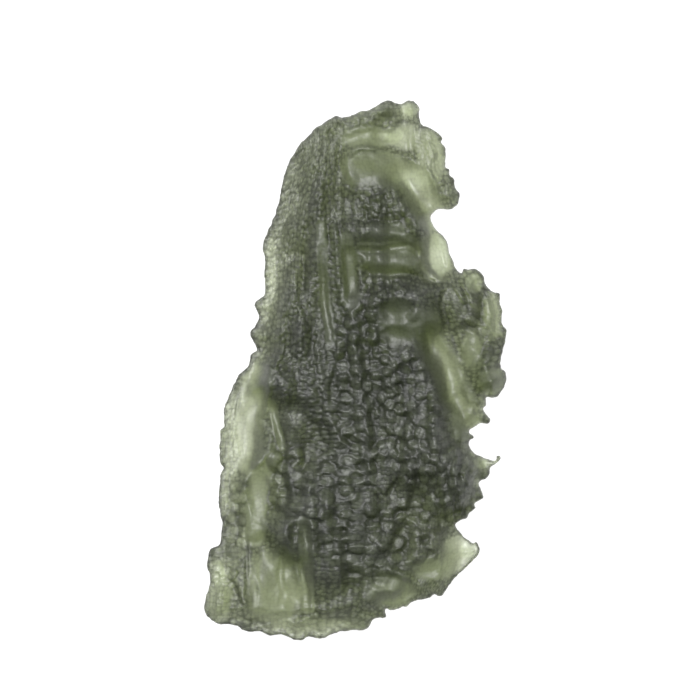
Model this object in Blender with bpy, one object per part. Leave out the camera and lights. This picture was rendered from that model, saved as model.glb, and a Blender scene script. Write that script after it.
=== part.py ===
"""A moldavite: one flat, deeply etched leaf of green natural glass, lying on its broad side.

The outline is a closed curve through named stretches of points. The glass between its top and
its underside gets its thickness from named stations, and named scoops, lumps, grooves and ridges
are carved into the top. Everything is in millimetres until the mesh is made.
+X is to the right and +Y up the length of the leaf as seen from above, and +Z points up.
"""
import math

import bmesh
import bpy
import numpy as np
from mathutils import Vector
from mathutils.geometry import delaunay_2d_cdt

# Driving dimensions, in millimetres
STONE_LENGTH = 45.0
STONE_WIDTH = 25.2
MESH_SPACING = 0.65
RIM_ROUNDING = 0.5
RIM_SHARE_BELOW = 0.4
LEAST_GLASS = 0.4
FLANGE_GLASS = 0.85
RIM_START = 0.4
CLIMB_WANDER = 0.45
CLIMB_WANDER_PITCH = 2.4
END_LIFT = 3.4
SIDE_LIFT = 2.8
SPOT_AT = (0.8, -2.0)
SPOT_HALF_SIZE = (2.8, 4.2)
SPOT_STEP = 0.3
COLUMN_PITCH = 1.8
COLUMN_DEPTH = 0.15
COLUMN_WANDER = 0.6
COLUMN_WANDER_PITCH = 3.6
BEAD_PITCH = 2.7
BEAD_WANDER = 0.9
BEAD_WANDER_PITCH = 2.9
LINE_TAPER = 0.12
LEAST_LINE = 0.5
CELLS = 256
FACET_BLUR = 0.45
METRES_PER_MM = 0.001
GLASS_COLOUR = (0.15, 0.18, 0.10, 1.0)
GLASS_ROUGHNESS = 0.15

# The outline, anticlockwise from the knob at the top
OUTLINE = {
    "crown": [(2.8, 22.5), (2.0, 22.3), (1.1, 21.7), (0.3, 21.6), (-0.9, 21.1), (-1.7, 21.2),
              (-3.7, 19.9)],
    "left shoulder": [(-5.4, 17.8), (-6.0, 16.3), (-6.7, 13.3), (-7.5, 11.4)],
    "left flange": [(-7.8, 10.4), (-7.8, 9.8), (-7.6, 9.3), (-7.7, 7.6), (-7.6, 7.0), (-7.7, 6.4),
                    (-8.5, 5.6), (-8.2, 4.5), (-8.5, 3.6), (-8.8, 3.3), (-8.8, 2.7), (-8.3, 1.7)],
    "waist": [(-8.7, 1.4), (-9.1, 0.3), (-9.7, -0.2)],
    "lower left rim": [(-11.0, -3.1), (-11.1, -4.2), (-11.1, -4.7), (-11.3, -5.0), (-11.3, -7.8),
                       (-11.1, -8.1), (-11.3, -8.6), (-11.5, -10.7), (-11.2, -13.0),
                       (-11.3, -14.0), (-11.5, -14.5)],
    "heel": [(-12.1, -14.8), (-12.3, -15.3), (-12.4, -16.2), (-12.2, -17.4), (-12.6, -19.4),
             (-12.5, -20.2), (-11.5, -21.0), (-9.9, -21.2)],
    "foot": [(-9.5, -21.6), (-7.9, -21.8), (-7.5, -22.0), (-6.8, -22.1), (-6.2, -22.0),
             (-5.0, -22.5), (-4.5, -22.5), (-4.0, -22.2), (-3.0, -22.4), (-2.3, -22.2),
             (-1.9, -22.0), (-0.1, -21.7), (0.5, -21.7), (1.0, -21.5), (1.3, -21.0), (1.6, -20.7),
             (2.5, -20.6), (2.5, -19.9), (2.9, -20.0), (3.6, -19.9), (3.9, -19.7), (4.2, -19.7),
             (4.7, -19.3), (6.1, -19.0), (6.5, -18.7), (6.9, -18.8), (7.3, -18.7)],
    "lower right lobe": [(8.1, -17.5), (9.2, -16.5), (10.4, -15.0), (10.0, -14.3), (9.8, -14.4),
                         (9.3, -14.1), (8.3, -12.9)],
    "claws": [(9.3, -12.3), (9.5, -11.9), (10.0, -11.5), (9.9, -11.2), (10.6, -10.6), (10.3, -9.4),
              (10.9, -9.1), (11.2, -8.7), (11.2, -8.2), (11.8, -7.8), (12.1, -7.4), (12.0, -7.1),
              (11.7, -7.1), (11.6, -7.5), (9.7, -6.7), (9.5, -6.0), (9.9, -5.6), (9.5, -5.2),
              (10.3, -4.5), (11.0, -4.5), (11.2, -4.1), (10.7, -3.2), (10.9, -3.0), (10.9, -2.3),
              (11.8, -2.2)],
    "right bulge": [(12.6, -0.9), (12.5, -0.2), (12.1, 0.3), (12.1, 1.0), (12.5, 2.5), (12.6, 3.3),
                    (12.2, 4.1), (12.2, 4.6), (12.3, 5.0), (12.0, 5.8), (12.0, 6.4), (11.3, 6.7),
                    (10.8, 7.3), (10.7, 7.9), (10.3, 8.3), (9.9, 8.5), (9.3, 8.4), (9.0, 8.5),
                    (8.8, 8.2), (8.4, 8.5)],
    "window rim": [(7.4, 11.1), (7.0, 11.5), (6.7, 11.7), (6.3, 12.8), (6.5, 13.1), (6.9, 13.4)],
    "nose": [(8.1, 13.5), (8.7, 14.5), (8.3, 15.3), (8.2, 16.0), (7.8, 16.3), (7.8, 16.8),
             (7.5, 16.9), (7.4, 18.6), (7.1, 19.0), (7.2, 19.3), (6.5, 20.0), (5.6, 20.4),
             (5.3, 21.0), (5.3, 21.8), (5.0, 22.3), (4.5, 22.5), (3.5, 22.2)],
}

# Thickness stations: name, x, y, reach, thickness of the glass, width of the thin flange, rise
STATIONS = [
    ("lower foot", -1.55, -18.95, 1.65, 4.0, 0.0, 2.2),
    ("crown left", -2.4, 19.4, 1.85, 2.8, 0.0, 1.7),
    ("crown band", 0.8, 20.9, 1.35, 3.2, 0.0, 1.1),
    ("crown knob", 4.1, 21.7, 0.85, 1.4, 0.0, 1.1),
    ("upper shelf", 2.95, 19.55, 1.0, 1.4, 0.0, 1.3),
    ("scoop left", 0.95, 16.55, 1.15, 4.6, 0.0, 1.7),
    ("scoop right", 5.1, 15.9, 1.1, 2.3, 0.0, 1.7),
    ("laminated rim", 6.95, 17.7, 1.0, 1.9, 0.0, 1.3),
    ("nose", 7.8, 14.55, 0.85, 2.2, 0.0, 1.1),
    ("bumps below the scoop", 2.4, 13.7, 1.35, 4.8, 0.0, 1.7),
    ("upper left", -4.7, 13.8, 2.0, 3.5, 0.5, 2.5),
    ("left flange", -7.05, 8.8, 1.65, 2.3, 0.9, 1.7),
    ("left middle", -5.55, 3.8, 2.0, 4.4, 0.3, 2.5),
    ("smooth stripes", -0.9, 9.9, 1.5, 5.2, 0.0, 2.3),
    ("folds", 2.45, 10.05, 1.65, 4.9, 0.0, 2.3),
    ("window", 6.6, 9.55, 1.0, 1.7, 0.0, 1.0),
    ("centre", -0.55, -0.8, 2.65, 6.6, 0.0, 2.8),
    ("stacked cups", 3.3, 4.2, 1.5, 6.6, 0.0, 2.8),
    ("oval lump", 8.3, 5.7, 1.0, 3.5, 0.0, 1.7),
    ("right fringe", 11.45, 4.9, 0.9, 2.2, 0.0, 1.2),
    ("pale valley", 7.8, 1.2, 1.35, 2.3, 0.0, 1.7),
    ("valley foot", 8.9, -2.9, 1.0, 2.9, 0.0, 1.7),
    ("right lobe", 11.45, -0.6, 1.0, 4.6, 0.0, 1.2),
    ("teal basin", 4.3, -0.45, 1.35, 7.2, 0.0, 2.8),
    ("overhanging mass", 6.1, -5.8, 1.85, 6.4, 0.0, 2.8),
    ("right dark band", 8.2, -10.8, 1.25, 5.6, 0.0, 1.9),
    ("mass edge", 9.1, -7.6, 0.85, 5.2, 0.0, 1.0),
    ("claw flake", 11.05, -7.8, 0.85, 1.5, 0.0, 1.0),
    ("lower centre", -1.4, -12.9, 2.5, 6.4, 0.0, 2.8),
    ("olive facet", 2.95, -18.1, 1.5, 4.8, 0.0, 1.9),
    ("tail lobe", 8.6, -15.45, 1.35, 2.4, 0.3, 1.8),
    ("foot", -3.45, -20.8, 1.5, 2.6, 0.5, 1.9),
    ("foot left", -8.2, -19.8, 1.35, 2.8, 0.4, 1.9),
    ("heel", -11.45, -18.1, 1.1, 1.8, 0.0, 1.3),
    ("lower left flange", -10.45, -5.4, 1.0, 1.2, 0.9, 1.7),
    ("thumb valley", -8.55, -4.55, 1.1, 1.9, 0.7, 1.3),
    ("left column", -7.9, -10.1, 1.35, 2.8, 0.6, 1.9),
    ("scalloped lumps", -5.7, -5.8, 1.5, 4.0, 0.7, 2.5),
    ("pale column", -8.7, -15.8, 1.25, 2.2, 0.5, 1.9),
    ("second column", -5.3, -18.3, 1.35, 2.4, 0.5, 2.3),
    ("scaly lumps", 4.6, -12.9, 1.65, 4.0, 0.0, 2.5),
    ("tail left", 6.3, -16.6, 1.15, 3.0, 0.0, 1.8),
]

# Lumps on the top, and scoops where the height is negative: name, x, y, half width, half height,
# turn in degrees, height
LUMPS = [
    ("soft shoulder lump", -3.55, 17.2, 1.0, 1.0, 0, 0.5),
    ("shoulder hollow", -5.05, 15.05, 0.9, 1.1, 20, -0.4),
    ("bright shelf", 2.8, 19.7, 1.15, 0.75, -5, 0.4),
    ("wedge hollow", 2.2, 18.7, 1.25, 0.5, -4, -0.25),
    ("clear knob", 4.55, 21.8, 0.85, 0.75, 0, 0.4),
    ("nose knob", 7.95, 14.6, 0.75, 0.9, 0, 0.4),
    ("slanted bump", 0.9, 13.7, 0.5, 0.9, 30, 0.25),
    ("twin bump one", 1.8, 14.3, 0.5, 0.5, 0, 0.25),
    ("twin bump two", 2.7, 14.1, 0.5, 0.5, 0, 0.25),
    ("grey bump", 4.1, 13.55, 0.6, 0.75, -15, 0.3),
    ("small dash", 2.6, 13.1, 0.35, 0.6, 0, 0.15),
    ("oval window", 6.6, 9.45, 1.25, 1.9, -8, -0.6),
    ("upper cup", 3.3, 4.9, 1.5, 1.25, 0, -0.65),
    ("lower cup", 3.4, 2.7, 1.5, 1.15, 0, -0.6),
    ("pale lump", 4.7, 4.6, 0.6, 0.65, 0, 0.3),
    ("bright lump", 2.7, 0.95, 0.75, 0.65, 0, 0.35),
    ("grey lump one", 2.6, -0.3, 0.75, 0.75, 0, 0.4),
    ("grey lump two", 2.7, -1.45, 0.65, 0.6, 0, 0.3),
    ("grey lump three", 2.7, -4.05, 1.0, 1.0, 0, 0.55),
    ("grey lump four", 2.45, -6.45, 1.0, 0.85, 0, 0.45),
    ("centre bump", 0.4, -5.8, 0.65, 0.65, 0, 0.35),
    ("centre bump low", 0.4, -7.2, 0.6, 0.6, 0, 0.3),
    ("left centre bump", -0.95, -0.6, 0.65, 0.65, 0, 0.35),
    ("teal basin", 4.4, -0.8, 1.25, 2.0, 5, -0.65),
    ("oval lump", 8.2, 5.7, 0.9, 1.6, -8, 0.5),
    ("elongated lump", 9.6, 1.7, 0.9, 2.0, -24, 0.5),
    ("clear chip", 9.8, 7.2, 0.75, 0.9, 0, -0.4),
    ("fringe rib", 11.2, 4.4, 0.6, 1.6, -5, 0.3),
    ("rough patch", 11.6, 2.1, 0.75, 1.1, 0, -0.4),
    ("grey lobe", 11.2, -1.1, 1.15, 1.15, 0, 0.6),
    ("lobe bump", 12.2, -0.7, 0.5, 0.65, 0, 0.25),
    ("valley bowl", 8.9, -2.8, 1.1, 1.4, -12, -0.3),
    ("overhanging mass", 6.1, -6.2, 2.75, 3.35, 8, 0.8),
    ("mass bump one", 4.95, -3.95, 0.75, 0.65, 0, 0.35),
    ("mass bump two", 6.3, -4.2, 0.65, 0.65, 0, 0.35),
    ("mass bump three", 4.05, -5.45, 0.65, 0.75, 0, 0.35),
    ("mass bump four", 4.05, -7.1, 0.65, 0.65, 0, 0.35),
    ("mass bump five", 5.6, -8.3, 0.85, 0.75, 0, 0.4),
    ("scale one", 4.4, -11.45, 0.75, 0.65, 0, 0.35),
    ("scale two", 5.55, -12.1, 0.75, 0.6, 0, 0.3),
    ("scale three", 5.1, -13.3, 1.0, 0.85, 0, 0.45),
    ("scale four", 5.1, -15.3, 0.9, 0.85, 0, 0.45),
    ("scale five", 6.6, -13.95, 0.5, 1.1, 0, 0.25),
    ("scale six", 3.3, -13.1, 0.75, 0.65, 0, 0.35),
    ("scale seven", 3.8, -14.4, 0.65, 0.65, 0, 0.35),
    ("dark hollow", -2.05, -12.1, 0.9, 0.9, 0, -0.5),
    ("tail basin", 8.45, -15.1, 1.4, 1.1, 35, -0.5),
    ("olive facet", 2.95, -18.1, 2.5, 1.6, 10, -0.85),
    ("claw hollow", 10.7, -7.8, 1.0, 0.6, -15, -0.3),
    ("thumb notch", -7.9, -3.55, 0.6, 0.65, 0, 0.3),
    ("scalloped lump", -5.3, -4.45, 1.15, 1.9, 0, 0.6),
    ("ring bead", -3.9, -5.1, 0.5, 0.9, 0, 0.25),
    ("ribbed lump", -6.6, -7.45, 0.85, 1.25, 0, 0.45),
    ("small bead", -4.7, -7.2, 0.5, 0.5, 0, 0.25),
    ("pale hollow", -8.2, -9.8, 1.1, 1.65, 0, -0.55),
    ("dark edged lump", -6.55, -10.05, 0.85, 1.4, 0, 0.45),
    ("wedge", -9.9, -11.45, 0.9, 0.6, 0, 0.3),
    ("box lump", -8.3, -13.45, 0.85, 0.85, 0, 0.45),
    ("grey column", -7.1, -16.45, 0.9, 1.85, 0, 0.5),
    ("pale column", -8.6, -18.45, 0.65, 1.85, 0, -0.35),
    ("second pale column", -5.05, -18.95, 1.0, 2.15, 0, -0.55),
    ("heel lump", -11.45, -16.45, 0.85, 0.75, 0, 0.4),
    ("heel dome", -11.3, -18.95, 1.15, 1.5, 0, 0.6),
    ("foot lumps", -4.45, -20.95, 1.0, 0.6, 0, 0.3),
    ("left knob", -8.4, 2.7, 0.6, 0.65, 0, 0.3),
    ("low pale lump", 0.8, -20.6, 0.75, 0.6, 0, 0.3),
    ("lower bump", -1.4, -14.55, 0.75, 0.65, 0, 0.35),
    ("crack lump", 1.3, -11.45, 0.9, 0.75, 0, 0.4),
]

# Ridges on the top, and grooves where the height is negative: name, points, half width, height
LINES = [
    ("scoop", [(-0.55, 16.55), (0.8, 16.7), (2.55, 16.6), (4.1, 15.8), (5.1, 14.55),
               (5.9, 13.05)], 1.65, -0.95),
    ("scoop crest", [(-0.6, 17.55), (0.1, 18.2), (1.1, 18.4), (2.8, 18.2), (4.4, 17.8),
                     (5.45, 17.05), (6.2, 15.9), (6.55, 14.55), (6.7, 13.2)], 0.35, 0.25),
    ("crown ridge", [(-3.2, 19.7), (-1.8, 20.6), (-0.4, 21.05), (1.6, 21.55),
                     (3.1, 21.55)], 0.65, 0.5),
    ("rim groove", [(4.3, 21.05), (4.55, 19.9), (4.9, 17.95), (5.8, 16.3), (6.45, 14.2)], 0.35, -0.25),
    ("inner arc", [(0.3, 15.55), (1.8, 15.6), (3.1, 15.3), (4.3, 14.6), (5.3, 13.6),
                   (6.05, 12.4)], 0.4, 0.12),
    ("bright groove", [(-1.7, 18.4), (-1.3, 17.3), (-0.95, 15.9)], 0.25, -0.2),
    ("fold crest one", [(0.05, 11.4), (2.45, 11.4), (4.55, 10.95)], 0.75, 0.6),
    ("fold crest two", [(0.2, 9.1), (2.6, 9.1), (5.45, 8.6)], 0.75, 0.6),
    ("fold valley one", [(0.1, 12.3), (2.45, 12.4), (3.8, 12.6)], 0.4, -0.3),
    ("fold valley two", [(0.05, 10.1), (2.45, 10.05), (4.55, 10.05), (5.45, 9.45)], 0.4, -0.3),
    ("fold valley three", [(0.3, 8.2), (2.8, 7.95), (4.45, 7.9), (5.7, 7.45), (6.95, 7.1),
                           (7.9, 7.3)], 0.4, -0.3),
    ("window left edge", [(5.6, 11.05), (5.45, 9.55), (5.95, 8.3), (6.9, 7.45)], 0.35, 0.25),
    ("window bar", [(6.9, 11.05), (7.1, 9.9), (7.45, 8.4)], 0.25, -0.2),
    ("window right edge", [(7.7, 10.9), (8.1, 9.2), (8.55, 7.9)], 0.35, 0.25),
    ("diagonal ridge", [(7.7, 7.6), (8.55, 6.6), (9.1, 5.4)], 0.35, 0.25),
    ("diagonal groove", [(8.2, 7.45), (8.95, 6.45), (9.55, 5.1)], 0.35, -0.25),
    ("lump contour", [(8.2, 3.3), (8.4, 1.95), (8.95, 0.55)], 0.35, -0.25),
    ("oval contour", [(7.2, 6.7), (7.1, 5.2), (7.7, 3.9)], 0.35, -0.25),
    ("fringe groove", [(10.4, 6.05), (10.4, 4.55), (10.1, 3.4)], 0.35, -0.25),
    ("dark rim", [(10.4, -2.3), (10.8, -3.45), (10.3, -4.6)], 0.5, 0.4),
    ("pale valley", [(5.3, 3.8), (6.3, 1.7), (7.2, 0.2), (7.7, -1.3), (8.45, -2.95),
                     (9.1, -4.1)], 1.15, -0.7),
    ("valley side", [(5.45, 3.55), (5.6, 1.7), (6.1, -0.1)], 0.4, 0.3),
    ("bead column", [(1.2, 6.05), (1.4, 4.9), (1.6, 3.7), (1.6, 2.7), (1.9, 1.9)], 0.5, 0.4),
    ("overhang edge", [(3.6, -3.45), (5.1, -3.05), (6.8, -2.95), (7.9, -3.3), (8.55, -4.45),
                       (8.95, -6.45)], 0.6, 0.45),
    ("scalloped crack", [(0.1, -9.7), (1.45, -9.6), (2.45, -10.45), (3.1, -9.55), (3.8, -9.05),
                         (5.05, -8.9), (6.3, -8.55)], 0.35, -0.25),
    ("second crack", [(2.95, -12.2), (3.95, -11.7), (5.1, -11.4)], 0.35, -0.25),
    ("overhang band", [(6.6, -12.6), (7.95, -11.95), (9.95, -11.55)], 0.6, -0.45),
    ("vertical rib one", [(6.95, -7.6), (7.1, -9.55), (7.4, -11.2)], 0.4, 0.3),
    ("vertical rib two", [(8.1, -7.6), (8.3, -9.55), (8.45, -11.05)], 0.4, 0.3),
    ("bright line", [(6.9, -14.45), (6.95, -16.9)], 0.25, 0.2),
    ("claw edge", [(9.45, -6.8), (10.6, -7.4), (11.7, -7.8)], 0.25, 0.2),
    ("claw diagonal", [(9.1, -8.45), (9.7, -10.55)], 0.35, 0.25),
    ("middle flow groove", [(-4.2, 5.9), (-3.4, 0.05), (-2.6, -4.1), (-1.6, -8.95)], 0.35, -0.12),
    ("ladder rib", [(-3.2, 1.7), (-2.4, -3.3), (-1.45, -8.6)], 0.75, 0.2),
    ("left flow groove", [(-3.7, 15.9), (-4.3, 10.9), (-4.45, 5.9)], 0.35, -0.25),
    ("upper flow groove", [(-0.55, 15.7), (-0.3, 10.9), (0.05, 5.9)], 0.35, -0.15),
    ("green stripe", [(-2.95, 10.9), (-2.7, 6.7), (-2.1, 2.1)], 0.4, -0.3),
    ("olive stripe", [(-0.7, 10.45), (-0.4, 5.9)], 0.6, -0.45),
    ("white beads", [(-2.05, 12.4), (-1.6, 10.05), (-1.3, 7.55), (-0.9, 5.05)], 0.5, 0.4),
    ("spine", [(-0.3, 5.05), (0.05, 0.9), (0.55, -4.1), (0.9, -9.1)], 0.75, 0.5),
    ("thumb valley", [(-8.05, -0.8), (-8.55, -2.2), (-8.9, -3.7), (-8.95, -5.3), (-8.7, -6.55),
                      (-8.8, -7.6)], 1.25, -1.0),
    ("thumb contour", [(-7.3, -0.45), (-7.1, -1.95), (-7.55, -2.8), (-8.1, -4.2), (-7.4, -5.3),
                       (-7.1, -6.2), (-7.55, -7.1), (-8.2, -7.9), (-8.95, -8.3)], 0.35, 0.25),
    ("crescent", [(-6.95, -2.95), (-6.7, -4.45), (-6.1, -6.3)], 0.4, -0.3),
    ("flange line one", [(-10.05, -1.1), (-10.55, -2.2), (-10.9, -3.6), (-11.05, -5.45),
                         (-11.05, -8.3)], 0.25, -0.2),
    ("flange line two", [(-9.4, -1.1), (-10.1, -2.45), (-10.45, -4.1), (-10.6, -6.6),
                         (-10.7, -10.8)], 0.25, -0.2),
    ("long groove", [(-9.05, -12.3), (-9.05, -14.95), (-9.05, -19.1)], 0.25, -0.2),
    ("column groove", [(-6.1, -14.8), (-6.1, -17.3), (-5.9, -18.3), (-6.2, -19.45)], 0.35, -0.25),
    ("lower stripe", [(-4.2, -12.3), (-4.2, -15.8), (-4.05, -19.1)], 0.65, -0.5),
    ("heel edge", [(-10.6, -17.45), (-9.95, -18.3), (-9.45, -19.4), (-8.7, -20.4)], 0.35, -0.25),
    ("heel diagonal", [(-10.6, -17.3), (-9.95, -16.45)], 0.35, 0.25),
    ("heel line", [(-12.45, -15.6), (-11.55, -15.7), (-10.55, -15.9)], 0.35, -0.25),
    ("foot groove", [(-9.55, -20.95), (-6.8, -20.6), (-3.7, -20.2), (-1.2, -20.9)], 0.5, -0.35),
    ("bright curve", [(-0.55, -20.8), (0.05, -19.6)], 0.35, 0.25),
    ("facet edge", [(0.45, -16.95), (1.8, -16.55), (2.8, -16.4), (4.1, -16.95),
                    (5.45, -18.2)], 0.4, 0.3),
    ("lower flow groove", [(-1.6, -8.95), (-1.4, -12.45), (-0.9, -15.8), (-0.4, -19.1)], 0.5, -0.2),
]

# Hollows on the underside: name, x, y, half width, half height, turn in degrees, depth
UNDER_HOLLOWS = [
    ("under crown", 1.2, 17.4, 3.2, 2.3, 15, 1.1),
    ("under nose", 6.2, 16.6, 1.6, 2.6, -20, 0.8),
    ("under shoulder", -4.2, 15.0, 1.7, 3.2, 12, 0.8),
    ("under window", 5.4, 10.0, 2.0, 2.9, 0, 0.5),
    ("under folds", 0.6, 11.2, 2.9, 2.0, -10, 0.9),
    ("under flange", -5.6, 7.0, 1.6, 3.6, 4, 0.7),
    ("under bulge", 9.0, 3.0, 1.9, 3.0, -15, 0.8),
    ("under waist", -6.6, -0.6, 1.7, 2.8, 20, 0.8),
    ("under lobe", 9.4, -2.6, 1.6, 1.9, 0, 0.6),
    ("under claws", 8.2, -9.0, 1.7, 2.8, 10, 0.9),
    ("under left rim", -8.3, -8.0, 1.6, 3.4, 0, 0.7),
    ("under tail", 6.2, -14.8, 2.7, 1.8, 30, 0.9),
    ("under heel", -9.0, -17.2, 2.0, 2.7, 0, 0.7),
    ("under foot", -3.4, -17.4, 2.9, 2.0, 5, 1.0),
    ("under middle", -3.2, -11.8, 1.9, 2.8, 10, 0.8),
    ("under facet", 2.0, -18.6, 2.1, 1.6, 10, 0.7),
    ("under neck", 3.8, 6.2, 1.7, 2.2, 10, 0.5),
    ("under side", -4.4, 3.0, 1.5, 2.4, 5, 0.5),
]

# Grooves on the underside along the flow of the glass: name, points, half width, depth
UNDER_GROOVES = [
    ("left under groove", [(-2.2, 18.6), (-3.0, 12.0), (-3.8, 6.0), (-5.0, 1.0)], 0.9, 0.6),
    ("middle under groove", [(1.6, 15.0), (2.0, 9.0), (2.0, 5.0)], 0.9, 0.6),
    ("right under groove", [(4.4, 14.0), (6.6, 7.0), (6.8, 1.0), (6.6, -5.4)], 0.9, 0.6),
    ("lower under groove", [(-4.6, -3.6), (-5.4, -9.0), (-6.2, -15.6)], 0.9, 0.6),
    ("tail under groove", [(4.6, -7.6), (3.4, -11.8), (1.4, -15.8)], 0.9, 0.6),
]

# Lines that the glass flowed along, from left to right: the line's number in flow, x and y down it
FLOW_LINES = [
    (0.0, [(-4.7, 18.5), (-6.2, 14.0), (-7.0, 10.0), (-7.4, 5.9), (-7.9, 1.7), (-9.4, -2.5),
           (-10.4, -6.6), (-10.7, -10.8), (-10.7, -15.0), (-11.2, -21.0)]),
    (4.3, [(-3.2, 18.5), (-4.0, 14.0), (-4.5, 10.0), (-4.5, 5.9), (-4.3, 1.7), (-4.7, -2.5),
           (-5.4, -6.6), (-5.7, -10.8), (-6.0, -15.0), (-6.2, -21.0)]),
    (8.7, [(-1.0, 18.5), (-0.9, 14.0), (-0.5, 10.0), (-0.3, 5.9), (0.0, 1.7), (0.5, -2.5),
           (0.8, -6.6), (0.8, -10.8), (0.5, -15.8), (0.0, -21.0)]),
    (13.2, [(3.6, 21.7), (3.3, 14.0), (3.8, 10.0), (4.1, 5.9), (4.6, 1.7), (4.9, -2.5),
            (5.1, -6.6), (5.3, -10.8), (5.1, -15.0), (4.5, -19.1)]),
    (18.5, [(7.0, 20.0), (8.0, 14.0), (9.6, 7.0), (12.0, 1.7), (11.1, -2.5), (10.3, -6.6),
            (9.6, -10.8), (9.5, -15.0), (7.8, -18.3)]),
]

# Smooth places where the rows of beads fade out: name, x, y, half width, half height
SMOOTH_PLACES = [
    ("scoop", 2.6, 16.2, 3.9, 2.4),
    ("folds", 2.8, 10.2, 3.0, 2.8),
    ("window", 6.6, 9.5, 2.0, 2.8),
    ("stripes", -1.0, 9.0, 1.5, 3.6),
    ("right valley", 8.0, 0.6, 2.0, 4.4),
    ("thumb valley", -8.7, -4.4, 1.6, 3.8),
    ("lower left", -7.6, -18.0, 3.2, 3.2),
    ("olive facet", 2.8, -18.2, 3.0, 2.2),
    ("tail", 8.6, -15.8, 2.0, 1.8),
]


def clear_scene():
    """Remove whatever the file holds, so the script can be run again."""
    for old in list(bpy.data.objects):
        bpy.data.objects.remove(old, do_unlink=True)


def blend(a, b, at_a, at_b, at):
    """The value between a and b, which stand at at_a and at_b."""
    return (a * (at_b - at) + b * (at - at_a)) / (at_b - at_a)


def catmull_rom_point(controls, knots, at):
    """One point of the curve between the second and third of four control points."""
    first = [blend(controls[i], controls[i + 1], knots[i], knots[i + 1], at) for i in range(3)]
    second = [blend(first[i], first[i + 1], knots[i], knots[i + 2], at) for i in range(2)]
    return blend(second[0], second[1], knots[1], knots[2], at)


def smooth_curve(points, step, closed=False):
    """Points about a step apart along a centripetal curve through the given points."""
    given = [np.array(p, dtype=float) for p in points]
    count = len(given)
    curve = []
    for i in range(count if closed else count - 1):
        p1 = given[i]
        p2 = given[(i + 1) % count]
        p0 = given[i - 1] if closed or i > 0 else 2 * p1 - p2
        p3 = given[(i + 2) % count] if closed or i + 2 < count else 2 * p2 - p1
        knots = [0.0]
        for a, b in ((p0, p1), (p1, p2), (p2, p3)):
            knots.append(knots[-1] + math.sqrt(np.linalg.norm(b - a)))
        pieces = max(1, round(float(np.linalg.norm(p2 - p1)) / step))
        for k in range(pieces):
            at = knots[1] + (knots[2] - knots[1]) * k / pieces
            curve.append(catmull_rom_point((p0, p1, p2, p3), knots, at))
    if not closed:
        curve.append(given[-1])
    return np.array(curve)


def nearest_on_line(x, y, line):
    """Distance from each place to a row of points, and how far along the row the nearest one is."""
    nearest = np.full(x.shape, np.inf)
    share = np.zeros(x.shape)
    runs = len(line) - 1
    for number, ((ax, ay), (bx, by)) in enumerate(zip(line[:-1], line[1:])):
        run_x = bx - ax
        run_y = by - ay
        along = ((x - ax) * run_x + (y - ay) * run_y) / (run_x * run_x + run_y * run_y)
        along = np.clip(along, 0.0, 1.0)
        distance = np.hypot(x - ax - along * run_x, y - ay - along * run_y)
        closer = distance < nearest
        nearest[closer] = distance[closer]
        share[closer] = (number + along[closer]) / runs
    return nearest, share


def smoothstep(low, high, value):
    """0 below low, 1 above high and a smooth rise between them."""
    share = np.clip((value - low) / (high - low), 0.0, 1.0)
    return share * share * (3.0 - 2.0 * share)


def ellipse_share(x, y, at_x, at_y, half_width, half_height, turn=0.0):
    """0 at the centre of a turned ellipse and 1 on its edge."""
    cos_turn = math.cos(math.radians(turn))
    sin_turn = math.sin(math.radians(turn))
    along = ((x - at_x) * cos_turn + (y - at_y) * sin_turn) / half_width
    across = ((y - at_y) * cos_turn - (x - at_x) * sin_turn) / half_height
    return np.hypot(along, across)


def bump(share):
    """A rounded bump that is 1 in its middle and 0 from its edge on."""
    return np.clip(1.0 - share * share, 0.0, 1.0) ** 1.4


def soft_noise(x, y, pitch, seed):
    """Smooth noise from -1 to 1 with humps about a pitch apart."""
    luck = np.random.default_rng(seed).uniform(-1.0, 1.0, (CELLS, CELLS))
    column = np.floor(x / pitch).astype(int)
    row = np.floor(y / pitch).astype(int)
    across = smoothstep(0.0, 1.0, x / pitch - column)
    along = smoothstep(0.0, 1.0, y / pitch - row)
    left = column % CELLS
    right = (column + 1) % CELLS
    below = row % CELLS
    above = (row + 1) % CELLS
    low = luck[left, below] * (1.0 - across) + luck[right, below] * across
    high = luck[left, above] * (1.0 - across) + luck[right, above] * across
    return low * (1.0 - along) + high * along


def station_values(x, y):
    """Thickness, flange width and rise at each place, from the nearest stations."""
    weights = []
    for _, at_x, at_y, reach, _, _, _ in STATIONS:
        weights.append(np.exp(-((x - at_x) ** 2 + (y - at_y) ** 2) / (2.0 * reach * reach)) + 1e-12)
    weights = np.array(weights)
    weights /= weights.sum(axis=0)
    values = np.array([station[4:7] for station in STATIONS])
    return values.T @ weights


def flow_place(x, y):
    """How far across the flow lines each place lies."""
    crossings = []
    for _, points in FLOW_LINES:
        down = np.array(points)[::-1]
        crossings.append(np.interp(y, down[:, 1], down[:, 0]))
    place = np.full(x.shape, FLOW_LINES[0][0])
    for k in range(len(FLOW_LINES) - 1):
        span = FLOW_LINES[k + 1][0] - FLOW_LINES[k][0]
        share = (x - crossings[k]) / (crossings[k + 1] - crossings[k])
        place += span * np.clip(share, 0.0, 1.0)
    return place


def columns_of_beads(x, y):
    """Rounded rows of beads that follow the flow lines, and fade out in the smooth places."""
    place = flow_place(x, y) + COLUMN_WANDER * soft_noise(x, y, COLUMN_WANDER_PITCH, 41)
    across = 2.0 * math.pi * place / COLUMN_PITCH
    row = y + BEAD_WANDER * soft_noise(x, y, BEAD_WANDER_PITCH, 42)
    along = 2.0 * math.pi * row / BEAD_PITCH
    fade = np.ones(x.shape)
    for _, at_x, at_y, half_width, half_height in SMOOTH_PLACES:
        share = ellipse_share(x, y, at_x, at_y, half_width, half_height)
        fade *= smoothstep(0.7, 1.1, share)
    return COLUMN_DEPTH * fade * (np.cos(across) + 0.8 * np.cos(along))


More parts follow.
